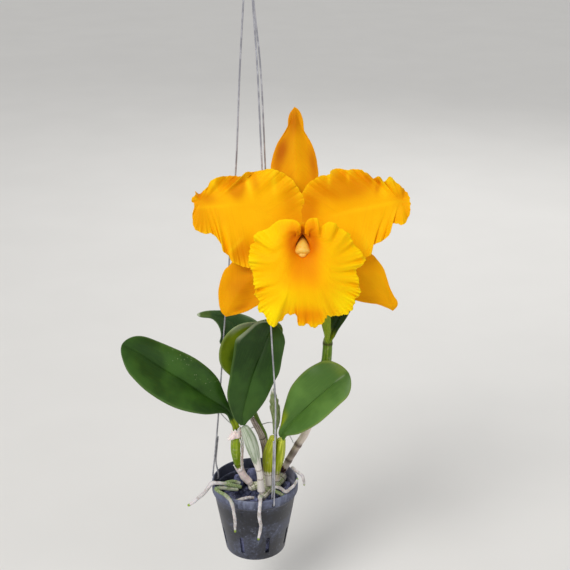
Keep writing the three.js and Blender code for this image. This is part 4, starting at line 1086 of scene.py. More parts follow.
# Each growth's path and radii, how deep its ribs are, the places of its sheath rings and how
# much each swells, and how dry its skin is from its foot to its top.
BULBS = {
    "pseudobulb_left": dict(
        path=[(-3.2, -0.8, 57.4), (-5.6, -1.4, 61.4), (-9.2, -2.4, 66.6), (-13, -4.2, 77.4),
              (-14.2, -7, 91.2), (-14.3, -9, 103.2), (-14, -10, 112)],
        radii=[2.6, 2.5, 2.5, 3.7, 4.6, 4.2, 2.8],
        ribs=0.03, rings=[(0.42, 0.07)], dry=[1, 1, 0.85, -0.4, -0.4, -0.4, -0.1], seed=2,
    ),
    "pseudobulb_silvery": dict(
        path=[(5.4, -14.8, 58.8), (4.9, -14.9, 67), (4.1, -15, 76.6), (1.4, -15, 89.4),
              (-2.2, -15, 103.4), (-5.2, -15.5, 113), (-8, -16, 119.4)],
        radii=[3.2, 2.6, 2.5, 3.5, 4.9, 4.8, 3.0],
        ribs=0.07, rings=[(0.2, 0.08), (0.33, 0.05)], dry=[0.8, 0.9, 0.7, 0.2, 0, 0], seed=3,
    ),
    "pseudobulb_brown": dict(
        path=[(8.6, 11, 58.8), (8.2, 10.6, 72), (7.8, 10, 85), (5, 9, 97.7), (0.5, 8, 108),
              (-2.6, 7.2, 115)],
        radii=[2.4, 2.5, 2.7, 2.6, 2.3, 1.9],
        ribs=0.1, rings=[(0.3, 0.06), (0.62, 0.06)], dry=[0.4, 0.5, 0.6, 0.7, 0.5], seed=4,
    ),
    "pseudobulb_back": dict(
        path=[(8.4, 17.6, 58.8), (8.6, 17.4, 76), (7.8, 17, 92), (3.3, 16.4, 104), (-0.6, 15.4, 116)],
        radii=[1.9, 2, 2.2, 2.1, 1.8],
        ribs=0.06, rings=[(0.45, 0.06)], dry=[0.4, 0.1, 0.1, 0.3], seed=5,
    ),
    "pseudobulb_ribbed": dict(
        path=[(11.2, -5, 58.9), (10.7, -4.8, 72.8), (11.4, -5, 87), (13.6, -6, 98), (15.4, -7.2, 105.6)],
        radii=[2.6, 3.0, 4.1, 4.2, 2.8],
        ribs=0.1, rings=[(0.22, 0.07)], dry=[0.9, 0.7, 0.1, 0, 0, 0.25], seed=6,
    ),
    "pseudobulb_pale": dict(
        path=[(17.6, 2.2, 58.9), (18.2, 1.6, 70), (20.2, -0.6, 88), (21.6, -3.2, 101)],
        radii=[2.2, 2.7, 4.2, 4.2, 3.3],
        ribs=0.1, rings=[(0.18, 0.06)], dry=[0.8, 0.5, 0.1, 0, 0, 0.1], seed=7,
    ),
    "pseudobulb_flowering": dict(
        path=[(22.4, 17, 58.8), (27.7, 15.6, 71), (35.4, 13.6, 87), (41.2, 12, 98.8), (49.8, 9, 127.7),
              (56.4, 6, 161), (58, 3.6, 188.4)],
        radii=[2.6, 2.9, 3, 3.2, 3.7, 4, 3.9, 3.5],
        ribs=0.03, rings=[(0.09, 0.1), (0.222, 0.12), (0.5, 0.08), (0.82, 0.09), (0.95, 0.1)],
        dry=[1, 1, 1, 0.85, 0.4, 0, 0, 0], seed=8,
        stains=[(0.16, 0.045, 0.85), (0.228, 0.018, 1), (0.1, 0.018, 1), (0.824, 0.008, 0.7)],
    ),
}
# Each growth's slot, and its finish: its name, the colours of its skin, streaks, dry part and
# scars, and how strong its streaks and its silvery bloom are.
BULB_SKINS = {
    "pseudobulb_left": ("pseudobulb_green", ("bulb_left_skin", "6E8A0C", "98AC1E", "F0D8D2")),
    "pseudobulb_silvery": ("pseudobulb_silvery", (
        "bulb_silvery_skin", "8E9E80", "C4CCBA", "E6E2DA", "94867A", 0.9, 0.75)),
    "pseudobulb_brown": ("pseudobulb_brown", (
        "bulb_brown_skin", "4E3C36", "8C7468", "7A6058", "241818")),
    "pseudobulb_back": ("pseudobulb_green", ("bulb_back_skin", "56751F", "7A9430", "9A8A6C")),
    "pseudobulb_ribbed": ("pseudobulb_green", (
        "bulb_ribbed_skin", "8A960E", "BEC03C", "EAE6D8", "94866C")),
    "pseudobulb_pale": ("pseudobulb_green", (
        "bulb_pale_skin", "8EA010", "D0D650", "C4B48C", "4A3626", 0.9)),
    "pseudobulb_flowering": ("cane", ("cane_skin", "587E12", "8CAA2C", "EAD6C6", "34160F")),
}


def add_bulbs():
    for node, (slot, skin) in BULB_SKINS.items():
        add_piece(node, [bulb_body(**BULBS[node])], bulb_finish(*skin))


def add_rhizome():
    """The creeping stem: three lengths that meet, with close scars and scaly swellings."""
    creeping = [
        [(24, 20, 54.6), (20.5, 10, 54.6), (16, 1, 54.6), (10.5, -6, 54.6), (6, -15, 54.6),
         (3.5, -19, 53.6)],
        [(14, -1, 54.6), (9, 2.4, 54.6), (3.4, 2.6, 54.6), (-1.4, 0.8, 54.6), (-5, -1.4, 53.6)],
        [(12, -1, 54.6), (10, 6, 54.6), (8.5, 13, 54.6), (8, 20, 53.6)],
    ]
    rings = [(place, 0.1) for place in np.linspace(0.08, 0.92, 7)]
    radii = [2.4, 3.5, 3.3, 3.6, 3.3, 3.5, 2.4]
    bodies = [bulb_body(path, radii, rings=rings, dry=[0.6, 0.45, 0.6], seed=seed, blunt=0.08)
              for seed, path in enumerate(creeping, start=30)]
    finish = bulb_finish("rhizome_skin", "9CAC72", "CCD4A8", "E4DED2", streaks=0.6)
    add_piece("rhizome", bodies, finish)


# ---- Sheaths ----------------------------------------------------------------------------


PAPER_THICKNESS = 0.45


def torn(along, spacing, seed, tear):
    """How much is left of a torn edge at some distances along it."""
    return 1 - tear * (0.5 + 0.5 * wander(along, spacing, seed))


def sheath_body(path, radii, start, end, facing, spread, flare, tear, seed, gap=0.7, crumple=0.5,
                rows=60, columns=48):
    """Papery skin that wraps part of a stem, with a torn top and ragged sides."""
    t = np.linspace(0, 1, rows + 1)[:, None]
    s = np.linspace(-1, 1, columns + 1)
    top = t * torn(s + 1, 0.22, seed, tear)
    share = start + (end - start) * top
    turn = np.radians(spread) * s * torn(t[:, 0], 0.12, seed + 1, 0.6 * tear)[:, None]
    fine = evenly(path, 400)
    reach = np.linspace(0, 1, 400)

    def along(columns):
        return np.stack([np.interp(share, reach, column) for column in columns.T], axis=-1)

    ahead = unit(along(unit(np.gradient(fine, axis=0))))
    across = unit(np.cross(np.asarray(facing, float), ahead))
    width = smooth(radii, share.ravel()).reshape(share.shape) + gap + flare * top**2
    direction = np.cross(ahead, across) * np.cos(turn)[..., None] + across * np.sin(turn)[..., None]
    grid = along(fine) + width[..., None] * direction
    folds = rumple(grid, 2.6, seed) + 0.5 * rumple(grid, 1.2, seed + 1)
    grid = grid + (crumple * folds * (0.35 + 0.65 * t))[..., None] * direction
    uv = points_of(turn * width, share * reach_along(fine)[-1]) / 10
    return shell(grid, uv, PAPER_THICKNESS, facing, ragged=np.maximum(np.abs(s) ** 6, t**6))


def papery_finish(name, main, fibre, edge):
    """Dry skin with lengthwise fibres, faded and frayed at its torn edges."""
    f = Finish(name, Specular_IOR_Level=0.3, Subsurface_Weight=0.1, Subsurface_Scale=0.001)
    across, along = f.uv()
    fibres = f.strands(3.0, across * 24.0, along * 1.6)
    cloud = f.noise(260.0, 3.0)
    layers = [
        (fibres.between(0.4, 0.62), fibre),
        (cloud.between(0.55, 0.8) * 0.5, main),
        ((f.attribute("ragged") + (fibres - 0.5)).between(0.35, 0.75), edge),
    ]
    return f.finished(main, layers, 0.7 + cloud * 0.2, fibres + cloud * 0.5, 0.7, 0.4)


def folded_sheath(spine, widths, fold, seed, tear=0.0, thickness=0.6, rows=90, columns=40):
    """A spathe that is folded along its back and narrows to its tip, whole or torn."""
    facing = (0, -0.95, 0.3)
    share = np.linspace(0, 1, rows + 1)
    centre, side, up = blade_frame(spine, share, facing)
    lift = np.radians(fold[0] + (fold[1] - fold[0]) * share)[:, None]
    s = np.linspace(-1, 1, columns + 1)
    aside = np.abs(s)
    left, right = (smooth(half, share)[:, None] for half in widths)
    width = np.where(s < 0, left, right) * torn(share, 0.09, seed, tear)[:, None]
    angle = lift * (0.55 + 0.9 * aside)
    grid = centre[:, None] + scaled(width * s * np.cos(angle), side)
    grid = grid + scaled(0.9 * width * aside * np.sin(angle), up)
    grid = grid + scaled(tear * 1.6 * rumple(grid, 3.0, seed) * aside, up)
    uv = points_of(width * s, reach_along(centre)[:, None]) / 10
    return shell(grid, uv, thickness, facing, ragged=np.maximum(aside**4, share[:, None] ** 5))


def add_sheaths():
    pink = papery_finish("dry_sheath_paper", "ECD4D0", "F6E8E4", "F8F2EE")
    dusky = papery_finish("dusky_sheath_paper", "2A1420", "4A2E34", "8A6C60")
    old = papery_finish("old_sheath_paper", "5E7038", "98A278", "D2D2C6")
    fresh = papery_finish("flower_sheath_skin", "748E12", "94AA24", "A6B848")
    left, cane = ((BULBS[node]["path"], BULBS[node]["radii"])
                  for node in ("pseudobulb_left", "pseudobulb_flowering"))
    collar = sheath_body([(-14.1, -9.7, 107.6), (-14, -10.1, 112), (-14.7, -11, 117)],
                         [3.7, 2.9, 2.9], 0, 1, (-0.3, -1, 0), 140, gap=0.4, flare=0.5, tear=0.4,
                         crumple=0.6, seed=51)
    flap = sheath_body([(-15, -12, 110), (-18, -13.6, 108), (-21, -14, 106)], [2.4, 2.0, 0.8], 0, 1,
                       (0, -1, 0.6), 110, gap=0, flare=0, tear=0.3, crumple=0.8, seed=52, rows=30)
    strip = sheath_body(*left, 0.34, 0.96, (1, -0.25, 0), 40, flare=0.7, tear=0.3, seed=53)
    neck = sheath_body(*left, 0.06, 0.45, (0.2, -1, 0.2), 150, gap=0.35, flare=0.5, tear=0.3,
                       crumple=0.35, seed=55)
    add_piece("dry_sheath_left", [collar, flap, strip, neck], pink)
    wrap = sheath_body(*cane, 0.008, 0.055, (-1, -0.6, -0.2), 85, gap=0.4, flare=0.5, tear=0.5,
                       crumple=0.4, seed=57)
    add_piece("dry_sheath_flowering", [wrap], dusky)
    spathe = folded_sheath(
        [(16, -8, 107.6), (17.4, -13, 122), (16.5, -17.6, 136), (15.6, -21.4, 147), (15.2, -24, 156.4)],
        ([2.6, 5.6, 6.2, 4, 0.6], [2.6, 5.4, 6, 4, 0.6]), (-40, -30), tear=0.22, seed=59)
    add_piece("old_flower_sheath", [spathe], old)
    spathe = folded_sheath(
        [(57.4, 0.6, 184), (56.8, -5, 196), (54.8, -9.8, 212), (51.4, -15.6, 230), (48, -21, 243)],
        [[4.4, 8.6, 10.4, 7.6, 0.3]] * 2, (-55, -40), seed=61, thickness=0.8)
    add_piece("flower_sheath", [spathe], fresh)


# ---- Flower stalk -----------------------------------------------------------------------


def stem_finish():
    f = Finish("stalk_skin", Specular_IOR_Level=0.45, Subsurface_Weight=0.1, Subsurface_Scale=0.0015)
    turn, along = f.uv()
    cloud = f.noise(160.0)
    lines = f.strands(2.0, turn * 30.0, along * 0.6)
    layers = [(cloud.between(0.35, 0.7), "93A93E"), (lines.between(0.45, 0.65) * 0.4, "B2BC5A")]
    return f.finished("6E8F2A", layers, 0.38 + cloud * 0.15, lines)


def add_stalk():
    """The stalk that carries the flower, and the button on which the flower's parts stand."""
    skin = stem_finish()
    end = in_flower((0, 0, -7.2))
    stalk = [(57, 1.6, 187.4), (56.6, -2, 206), (52.6, -8, 232), (46.6, -13, 256), (40.6, -15.4, 273),
             (37.4, -18.4, 281), end]
    button = in_flower([(0, 0, -6), (0, 0, -3), (0, 0, 1.6)])

    def ribs(turn, place):
        return 1 + 0.05 * np.cos(3 * turn + place) * (0.3 + place)

    for node, path, radii, count, blunt, lobes in (
        ("flower_stalk", stalk, [2, 2.1, 2.2, 2.3, 2.7, 2.9, 3.2], 141, 0.012, ribs),
        ("flower_receptacle", button, [3.2, 4.6, 5.6], 31, 0.2, None),
    ):
        share = np.linspace(0, 1, count)
        width = smooth(radii, share) * rounded_ends(share, blunt)
        add_piece(node, [solid(*limb_grid(evenly(path, count), width, 36, lobes))], skin)


# ---- Roots ------------------------------------------------------------------------------

ROOT_RADIUS = 1.35
# Each root's path, how green it is from its start to its growing tip, and how stout.
ROOTS = {
    "root_over_left": (
        [(-11, -3.8, 56.6), (-20, -7.6, 61), (-29, -10.5, 64), (-35, -11.5, 64.4), (-40, -13, 58),
         (-47, -15, 52), (-54, -17, 47)],
        (1.0, 0.9, 0.3, 0, 0, 0.1), 1.2),
    "root_on_rim_left": (
        [(-13, -8.5, 57), (-24, -14, 61.6), (-31, -18, 64.2), (-27, -23.5, 64.2), (-22.5, -28.5, 64.3),
         (-18, -34.5, 62), (-16, -37, 54), (-15, -36.5, 44), (-15.5, -35, 34)],
        (0.6, 0.6, 0.8, 0.5, 0.3, 0.2), 1),
    "root_inside_left": (
        [(-12, 1.6, 57), (-18, 0.5, 59.6), (-25, -3, 59.6), (-29, -4, 57.5)], (0.5, 0.8, 0.9, 0.6), 1),
    "root_front": (
        [(-0.5, -18.6, 56), (-6, -22, 58), (-13, -25.5, 58), (-19, -24.5, 56.4)], (0.4, 0.2, 0.5, 1.0), 1),
    "root_front_right": (
        [(13.6, -10, 56.4), (17, -14, 58.6), (22, -20, 59.4), (25.6, -20.6, 57)], (0.8, 0.9, 0.7, 0.8), 1),
    "root_on_rim_right": (
        [(15.6, -8.4, 59.6), (20, -16.4, 63.6), (25, -23.5, 65), (30, -17, 64.8), (33.4, -9.4, 64.8),
         (34.8, -5, 64.9)],
        (0.4, 0.1, 0, 0, 0.1), 0.9),
    "root_over_right": (
        [(30.2, 14.4, 64.4), (31.8, 11.2, 64.9), (34.6, 5.8, 65), (38.4, 2.8, 63.4), (39.8, 0.8, 59.4),
         (40, -0.2, 55.8)],
        (0.1, 0, 0, 0.1), 0.9),
    "root_down_front": (
        [(7, -20.6, 56.4), (6, -27, 62), (5.4, -33, 64.6), (4.6, -37.4, 61), (4, -37, 50), (5, -35.2, 38),
         (3, -33.6, 26)],
        (0.4, 0.5, 0.1, 0, 0.2), 1),
}


def root_finish():
    """Spongy white velamen, green where it is wet or growing, with brown stains."""
    f = Finish("root_velamen", Specular_IOR_Level=0.3, Subsurface_Weight=0.08, Subsurface_Scale=0.001)
    cloud = f.noise(230.0, 3.0, 0.6)
    fine = f.noise(1500.0)
    greening = (f.attribute("green") + (cloud - 0.5) * 0.9).between(0.35, 0.75)
    layers = [
        (cloud.between(0.35, 0.65), "E0DADC"),
        (cloud.between(0.6, 0.75) * 0.4, "8B7164"),
        (greening, f.mix(fine.between(0.4, 0.7), tone("72854E"), tone("A6B48C"))),
        (f.attribute("tip"), "8FA83A"),
    ]
    return f.finished("B4AEAA", layers, 0.72 + cloud * 0.15, cloud + fine * 0.4, 0.7, 0.5)


def root_body(path, green, radius, seed):
    share = np.linspace(0, 1, 120)
    centres = evenly(path, len(share))
    centres = centres + 0.35 * np.stack([rumple(centres, 6, seed + k) for k in range(3)], axis=1)
    width = radius * smooth([0.95, 1.05, 1.0, 1.08, 0.98, 0.9, 0.62], share)
    width = width * (1 + 0.08 * wander(share, 0.07, seed)) * rounded_ends(share, 0.02)
    grid, uv = limb_grid(centres, width, 28)
    grid = joined(grid + 0.12 * rumple(grid, 1.4, seed)[..., None])
    tip = step_between(0.94, 0.97, share)
    return solid(grid, uv, green=smooth(green, share)[:, None], tip=tip[:, None])


def add_roots():
    finish = root_finish()
    for seed, (node, (path, green, stout)) in enumerate(ROOTS.items(), start=70):
        add_piece(node, [root_body(path, green, ROOT_RADIUS * stout, seed)], finish)


# ---- Charcoal ---------------------------------------------------------------------------

BED_TOP = 40.0
CHIPS_RADIUS = 27
# Each lump's centre, half-lengths and turn about the vertical in degrees.
LUMPS = [
    ((-21, 5, 49.5), (7, 8.5, 7), 12),
    ((-20, -11, 48), (7, 6.5, 7), 40),
    ((-9, -22.5, 47.5), (8, 6, 6), -15),
    ((6, -24, 47), (6.5, 5, 6), 10),
    ((17.6, -16.6, 47.5), (6, 6.6, 6), 30),
    ((25, -3, 48.5), (5.2, 7, 7), -5),
    ((25, 10.4, 47.2), (4, 4.6, 5.6), 20),
    ((14, 22.4, 48), (6.4, 4.4, 6.4), -32),
    ((-2, 25, 50), (6.5, 5.5, 8), 5),
    ((-14, 19.5, 49), (6, 5, 7.5), 35),
]


def charcoal_finish():
    """Broken charcoal: black with a blue-grey dust, wood grain and a slight sparkle."""
    f = Finish("charcoal_skin", Specular_IOR_Level=0.5)
    grain = f.noise((900.0, 900.0, 160.0), 3.0)
    cloud = f.noise(140.0, 3.0, 0.6)
    pores = f.specks(1300.0, 0.3, 0.05)
    layers = [
        (cloud.between(0.35, 0.65), "7478A0"),
        (grain.between(0.5, 0.7) * 0.6, "9094B8"),
        (pores * 0.6, "0C0C10"),
    ]
    return f.finished("303248", layers, 0.55 + cloud * 0.3, grain + cloud * 0.6 - pores * 0.4, 0.8, 0.6)


def lump_body(centre, half, degrees, seed):
    """A broken lump: a ball cut by many planes, with softened edges and a rough skin."""
    directions = ball(40, 80)
    directions[[0, -1]] = [[[0, 0, 1]], [[0, 0, -1]]]
    draws = np.random.default_rng(seed)
    planes = unit(np.concatenate([draws.normal(size=(16, 3)), np.eye(3), -np.eye(3)]))
    offsets = draws.uniform(0.72, 0.96, len(planes))
    facing = np.clip(directions @ planes.T, 0.05, 1)
    reach = ((facing / offsets) ** 14).sum(axis=-1) ** (-1 / 14)
    rough = 0.035 * rumple(directions, 0.3, seed) + 0.018 * rumple(directions, 0.12, seed + 1)
    grid = directions * (reach + rough)[..., None] * half
    turn_points(grid, 0, 1, degrees)
    return solid(grid + centre)


def arrays_of(mesh):
    """A mesh made by modifiers, in metres, as a body in millimetres above the pot's base."""
    mesh.calc_loop_triangles()
    points = np.empty((len(mesh.vertices), 3))
    mesh.vertices.foreach_get("co", points.ravel())
    faces = np.empty((len(mesh.loop_triangles), 3), int)
    mesh.loop_triangles.foreach_get("vertices", faces.ravel())
    points = points / MM - (0, 0, POT_BASE)
    return points, faces, np.zeros((len(faces), 3, 2)), {"underside": np.zeros(len(points))}


def modified(made, modifier, *spare):
    """What a modifier makes of an object, as a body. Neither is kept, nor are spare objects."""
    depsgraph = bpy.context.evaluated_depsgraph_get()
    mesh = bpy.data.meshes.new_from_object(made.evaluated_get(depsgraph))
    made.modifiers.remove(modifier)
    for used in (made, *spare):
        bpy.data.objects.remove(used)
    return arrays_of(mesh)


def grown(name, data, tree, **inputs):
    """Runs a Geometry Nodes tree on a mesh or curve and returns the result as a body."""
    made = add_object(name, data)
    modifier = made.modifiers.new(name, "NODES")
    modifier.node_group = tree
    for item in tree.interface.items_tree:
        if item.in_out == "INPUT" and item.name in inputs:
            modifier[item.identifier] = inputs[item.name]
    return modified(made, modifier)


def new_tree(name, **numbers):
    """An empty Geometry Nodes tree with a geometry and some numbers as its inputs."""
    tree = bpy.data.node_groups.new(name, "GeometryNodeTree")
    face = tree.interface
    face.new_socket("Geometry", in_out="INPUT", socket_type="NodeSocketGeometry")
    for key, value in numbers.items():
        kind = "NodeSocketInt" if isinstance(value, int) else "NodeSocketFloat"
        face.new_socket(key, in_out="INPUT", socket_type=kind).default_value = value
    face.new_socket("Geometry", in_out="OUTPUT", socket_type="NodeSocketGeometry")
    graph = Graph(tree)
    start = tree.nodes.new("NodeGroupInput")
    return graph, {socket.name: Value(graph, socket) for socket in start.outputs if socket.name}


def finish_tree(graph, geometry, material):
    """Ends a tree: makes its copies real and gives them their material."""
    real = graph.node("GeometryNodeRealizeInstances", inputs={"Geometry": geometry})
    dressed = graph.node("GeometryNodeSetMaterial", inputs={"Geometry": real, "Material": material})
    end = graph.tree.nodes.new("NodeGroupOutput")
    graph.tree.links.new(dressed.socket, end.inputs["Geometry"])
    return graph.tree


def chips_tree(material):
    """Small broken chips, scattered over a surface and turned every way."""
    g, given = new_tree("charcoal_chips", Density=60000.0, Smallest=0.001, Largest=0.003, Seed=4)
    spread = g.node("GeometryNodeDistributePointsOnFaces",
                    inputs={"Mesh": given["Geometry"], "Density": given["Density"], "Seed": given["Seed"]})
    chip = g.node("GeometryNodeMeshIcoSphere", inputs={"Radius": 1.0, "Subdivisions": 2}, output="Mesh")
    dent = g.node("ShaderNodeTexVoronoi", inputs={"Scale": 1.1}, output="Distance")
    bumpy = g.node("ShaderNodeVectorMath", {"operation": "SCALE"},
                   {0: g.node("GeometryNodeInputNormal"), "Scale": dent * -0.55})
    chip = g.node("GeometryNodeSetPosition", inputs={"Geometry": chip, "Offset": bumpy})
    turned = g.node("FunctionNodeRandomValue", {"data_type": "FLOAT_VECTOR"},
                    {"Max": (6.28, 6.28, 6.28), "Seed": 1})
    size = g.node("FunctionNodeRandomValue", {"data_type": "FLOAT"},
                  {2: given["Smallest"], 3: given["Largest"], "Seed": 2}, output=1)
    placed = g.node("GeometryNodeInstanceOnPoints",
                    inputs={"Points": spread, "Instance": chip, "Rotation": turned, "Scale": size})
    return finish_tree(g, placed, material)


def add_charcoal():
    finish = charcoal_finish()
    for i, lump in enumerate(LUMPS, start=1):
        add_piece(f"charcoal_{i}", [lump_body(*lump, seed=90 + i)], finish)

    foot, brim, floor = 22.7, 30.2, 2.4
    outline = [(0, floor), (foot - 1, floor), (foot, floor + 1), (brim, BED_TOP - 2.5),
               (brim - 1.5, BED_TOP - 0.6), (brim - 6, BED_TOP - 0.4), (0, BED_TOP - 0.4)]
    steps = np.linspace(0, 1, 70)
    corners = np.linspace(0, 1, len(outline))
    line = np.stack([np.interp(steps, corners, column) for column in zip(*outline)], axis=1)
    grid = revolved(line, 144)
    inward = -unit(grid - (0, 0, 20)) * (0.7 + 0.5 * rumple(grid, 3.0, 3))[..., None]
    bed = solid(joined(grid + inward * step_between(0, 3, line[:, 0])[:, None, None]))

    patch = bpy.data.meshes.new("bed_top")
    ring = revolved([(CHIPS_RADIUS, BED_TOP)], 48)[0, :-1]
    patch.from_pydata(to_row(ring).tolist(), [], [tuple(range(len(ring)))])
    chips = grown("bed_top", patch, chips_tree(finish), Density=70000.0)
    add_piece("charcoal_bed", [bed, chips], finish)


# ---- Pot --------------------------------------------------------------------------------

POT_RADIUS = POT_HIGH.x
HANGER_ANGLES = {"left": 163, "front": -64, "back": 60}
WIRE_HOLE_HEIGHT = 56.8
WIRE_HOLE_RADIUS = 1.6
# The radius of the wall's middle at its foot, how far it leans out, and its step at the rim.
WALL_FOOT = 23.2
WALL_LEAN = 9.6
RIM_STEP = 1.2
# A painted pool of light on the inner side of the rim.
LIT_PATCH_PLACE = (29.5, 15, 57)


def prism(outline, axis_from, axis_to):
    """A closed prism whose flat outline stands across the line between two points."""
    ahead = unit(np.subtract(axis_to, axis_from).astype(float))
    side = unit(np.cross((0, 0, 1) if abs(ahead[2]) < 0.9 else (1, 0, 0), ahead))
    ring = outline[:, :1] * side + outline[:, 1:] * np.cross(ahead, side)
    ends = np.stack([ring + axis_from, ring + axis_to])
    middle = np.broadcast_to(ends.mean(axis=1, keepdims=True), ends.shape)
    grid = np.stack([middle[0], ends[0], ends[1], middle[1]])
    return solid(np.concatenate([grid, grid[:, :1]], axis=1))


def arc(radius, angles):
    """Points round an arc, in a plane."""
    return radius * points_of(np.cos(angles), np.sin(angles))


def round_hole(radius, axis_from, axis_to):
    return prism(arc(radius, circle(32)[:-1]), axis_from, axis_to)


def slot_hole(width, height, axis_from, axis_to, corner=0.9):
    """A slot with rounded corners."""
    quarter = np.linspace(0, math.pi / 2, 6)
    inner = np.array([width, height]) / 2 - corner
    signs = [(1, 1), (-1, 1), (-1, -1), (1, -1)]
    arcs = [inner * sign + arc(corner, quarter + k * math.pi / 2) for k, sign in enumerate(signs)]
    return prism(np.concatenate(arcs), axis_from, axis_to)


def pot_finish():
    """Black plastic with a satin skin, bluish dust, runs and scratches, painted shade within its wall and a
    painted pool of light on its rim.
    """
    f = Finish("pot_plastic", Specular_IOR_Level=0.5)
    cloud = f.noise(38.0, 4.0, 0.6)
    dust = f.noise(420.0, 3.0, 0.65)
    runs = f.noise((260.0, 260.0, 18.0))
    scratches = f.noise((300.0, 300.0, 2600.0), 1.0)
    x, y, height = f.parts(f.place)

    def above(low, high):
        """A soft step between two heights of the pot."""
        return height.between((POT_BASE + low) * MM, (POT_BASE + high) * MM)

    high = above(46, 62)
    # The wall's middle leans out to the band at the rim, and what lies within it is inside.
    middle = above(0, 53) * (WALL_LEAN * MM) + WALL_FOOT * MM
    middle = middle + above(52.9, 53.1) * (RIM_STEP * MM)
    inside = (middle - (x * x + y * y).math("SQRT")).between(-0.1 * MM, 0.1 * MM)
    # Where the painted pool of light on the rim is centred.
    lit_patch = (LIT_PATCH_PLACE[0] * MM, LIT_PATCH_PLACE[1] * MM, (POT_BASE + LIT_PATCH_PLACE[2]) * MM)
    away = f.node("ShaderNodeVectorMath", {"operation": "DISTANCE"}, {0: f.place, 1: lit_patch}, output=1)
    film = (cloud * 0.6 + dust * 0.4 + high * 0.22).between(0.42, 0.8)
    layers = [
        (film, "646A84"),
        ((runs * (0.6 + high * 0.5)).between(0.5, 0.72) * 0.4, "8A92AA"),
        (dust.between(0.62, 0.72) * 0.35, "9CA2B4"),
        # Painted shade: darker within the wall.
        (inside * 0.6, "14161E"),
        # Painted pool of light on the rim, broken up by the dust.
        (away.between(0.012, 0.005) * (0.5 + dust * 0.5), "A0A0B6"),
    ]
    return f.finished("1E202A", layers, 0.34 + film * 0.35, dust * 0.5 + scratches * 0.35, 0.3, 0.25)


def rounded_outline(outline, radius=0.35):
    """An outline in a plane whose inner corners are cut to short arcs."""
    outline = np.array(outline, float)
    points = [outline[:1]]
    t = np.linspace(0, 1, 4)[:, None]
    for before, corner, after in zip(outline, outline[1:], outline[2:]):
        ways = before - corner, after - corner
        reach = min(radius, *(np.linalg.norm(way) / 2.1 for way in ways))
        start, end = (corner + unit(way) * reach for way in ways)
        points.append((1 - t) ** 2 * start + 2 * t * (1 - t) * corner + t**2 * end)
    return np.concatenate([*points, outline[-1:]])


def add_pot():
    """The tub: its wall with drain slots, the thick rim with the wires' holes, its floor."""
    foot = 24.5
    wall = POT_RADIUS - 1.4
    inner = wall - 0.3
    outline = rounded_outline([
        (0, 0.7), (foot - 4, 0.7), (foot - 4.8, 0), (foot - 1, 0), (foot, 1), (wall - 0.3, 52.2),
        (wall, 52.9), (POT_RADIUS, 54.2), (POT_RADIUS, 61.2), (wall + 0.6, 62), (inner + 0.4, 62),
        (inner, 61.4), (inner, 53), (wall - 1.3, 52), (foot - 1.3, 1.8), (0, 1.8),
    ])

    def outwards(low, high, degrees, height):
        """Two points at a height, one further out than the other."""
        x, y = arc(1, math.radians(degrees))
        return [np.array([reach * x, reach * y, height]) for reach in (low, high)]

    slots, slot_width, slot_height, slot_middle = 8, 3.2, 16, 15
    cutters = []
    for i in range(slots):
        ends = outwards(19, 36, (i + 0.5) * 360 / slots, slot_middle)
        cutters.append(slot_hole(slot_width, slot_height, *ends))
    drains, drain_radius, drain_reach = 5, 3, 15
    for i in range(drains):
        centre = outwards(drain_reach, drain_reach, i * 360 / drains, 0)[0]
        cutters.append(round_hole(drain_radius, centre + (0, 0, -3), centre + (0, 0, 5)))
    for degrees in HANGER_ANGLES.values():
        cutters.append(round_hole(WIRE_HOLE_RADIUS, *outwards(28, 40, degrees, WIRE_HOLE_HEIGHT)))

    blank = add_object("pot_blank", mesh_of("pot_blank", [solid(revolved(outline, 192))]))
    cutter = add_object("pot_cutter", mesh_of("pot_cutter", cutters))
    cut = blank.modifiers.new("holes", "BOOLEAN")
    cut.operation = "DIFFERENCE"
    cut.solver = "EXACT"
    cut.object = cutter
    piece = add_piece("pot", [modified(blank, cut, cutter)], pot_finish())
    piece.data.set_sharp_from_angle(angle=math.radians(38))


# ---- Hanger -----------------------------------------------------------------------------

WIRE_RADIUS = 0.65
TIE_RADIUS = 0.45
NECK_HEIGHT = 492.0
COLLAR_LENGTH = 12.0
# The free leg of each wire, which stands close behind it.
WIRE_LEGS = {
    "left": [(-30, 11.4, 95), (-31.2, 11.3, 84), (-32.2, 11, 72)],
    "front": [(15.6, -26.3, 112), (15.3, -27.7, 97), (14.9, -29.2, 80)],
    "back": [(16, 26.9, 97), (16.2, 28.4, 80)],
}
# How each wire runs from the rim to the collar, with slight bends.
WIRE_BOWS = {
    "left": [(-29.6, 9.5, 111), (-22.6, 7, 196), (-17.8, 5.3, 251.5), (-11.6, 3.5, 325), (-7.8, 2, 396)],
    "front": [(16.7, -27.5, 114), (17, -25.5, 147), (13.9, -21.5, 204.5), (7.8, -12, 330), (5, -7, 398)],
    "back": [(16.3, 26, 121), (14.1, 21, 185), (9.7, 12, 323), (7, 6, 395)],
}
# The tie runs from the left wire, past the rear growths, to the flowering one.
TIE = [
    (-27.9, 10.7, 117.4), (-23.2, 9.6, 112), (-17.4, 10.8, 106), (-7.4, 15.6, 100), (-1.6, 19.4, 99),
    (5, 19.4, 101.6), (13.2, 5.4, 111), (21.2, 2.8, 107.6), (28.2, 6, 98.4), (31.3, 9.2, 90.4),
]


def wire_tree(material):
    """A round wire drawn along a curve, with closed ends."""
    g, given = new_tree("round_wire", Radius=WIRE_RADIUS * MM, Sides=12)
    section = g.node("GeometryNodeCurvePrimitiveCircle",
                     inputs={"Resolution": given["Sides"], "Radius": given["Radius"]})
    drawn = g.node("GeometryNodeCurveToMesh",
                   inputs={"Curve": given["Geometry"], "Profile Curve": section, "Fill Caps": True})
    return finish_tree(g, drawn, material)


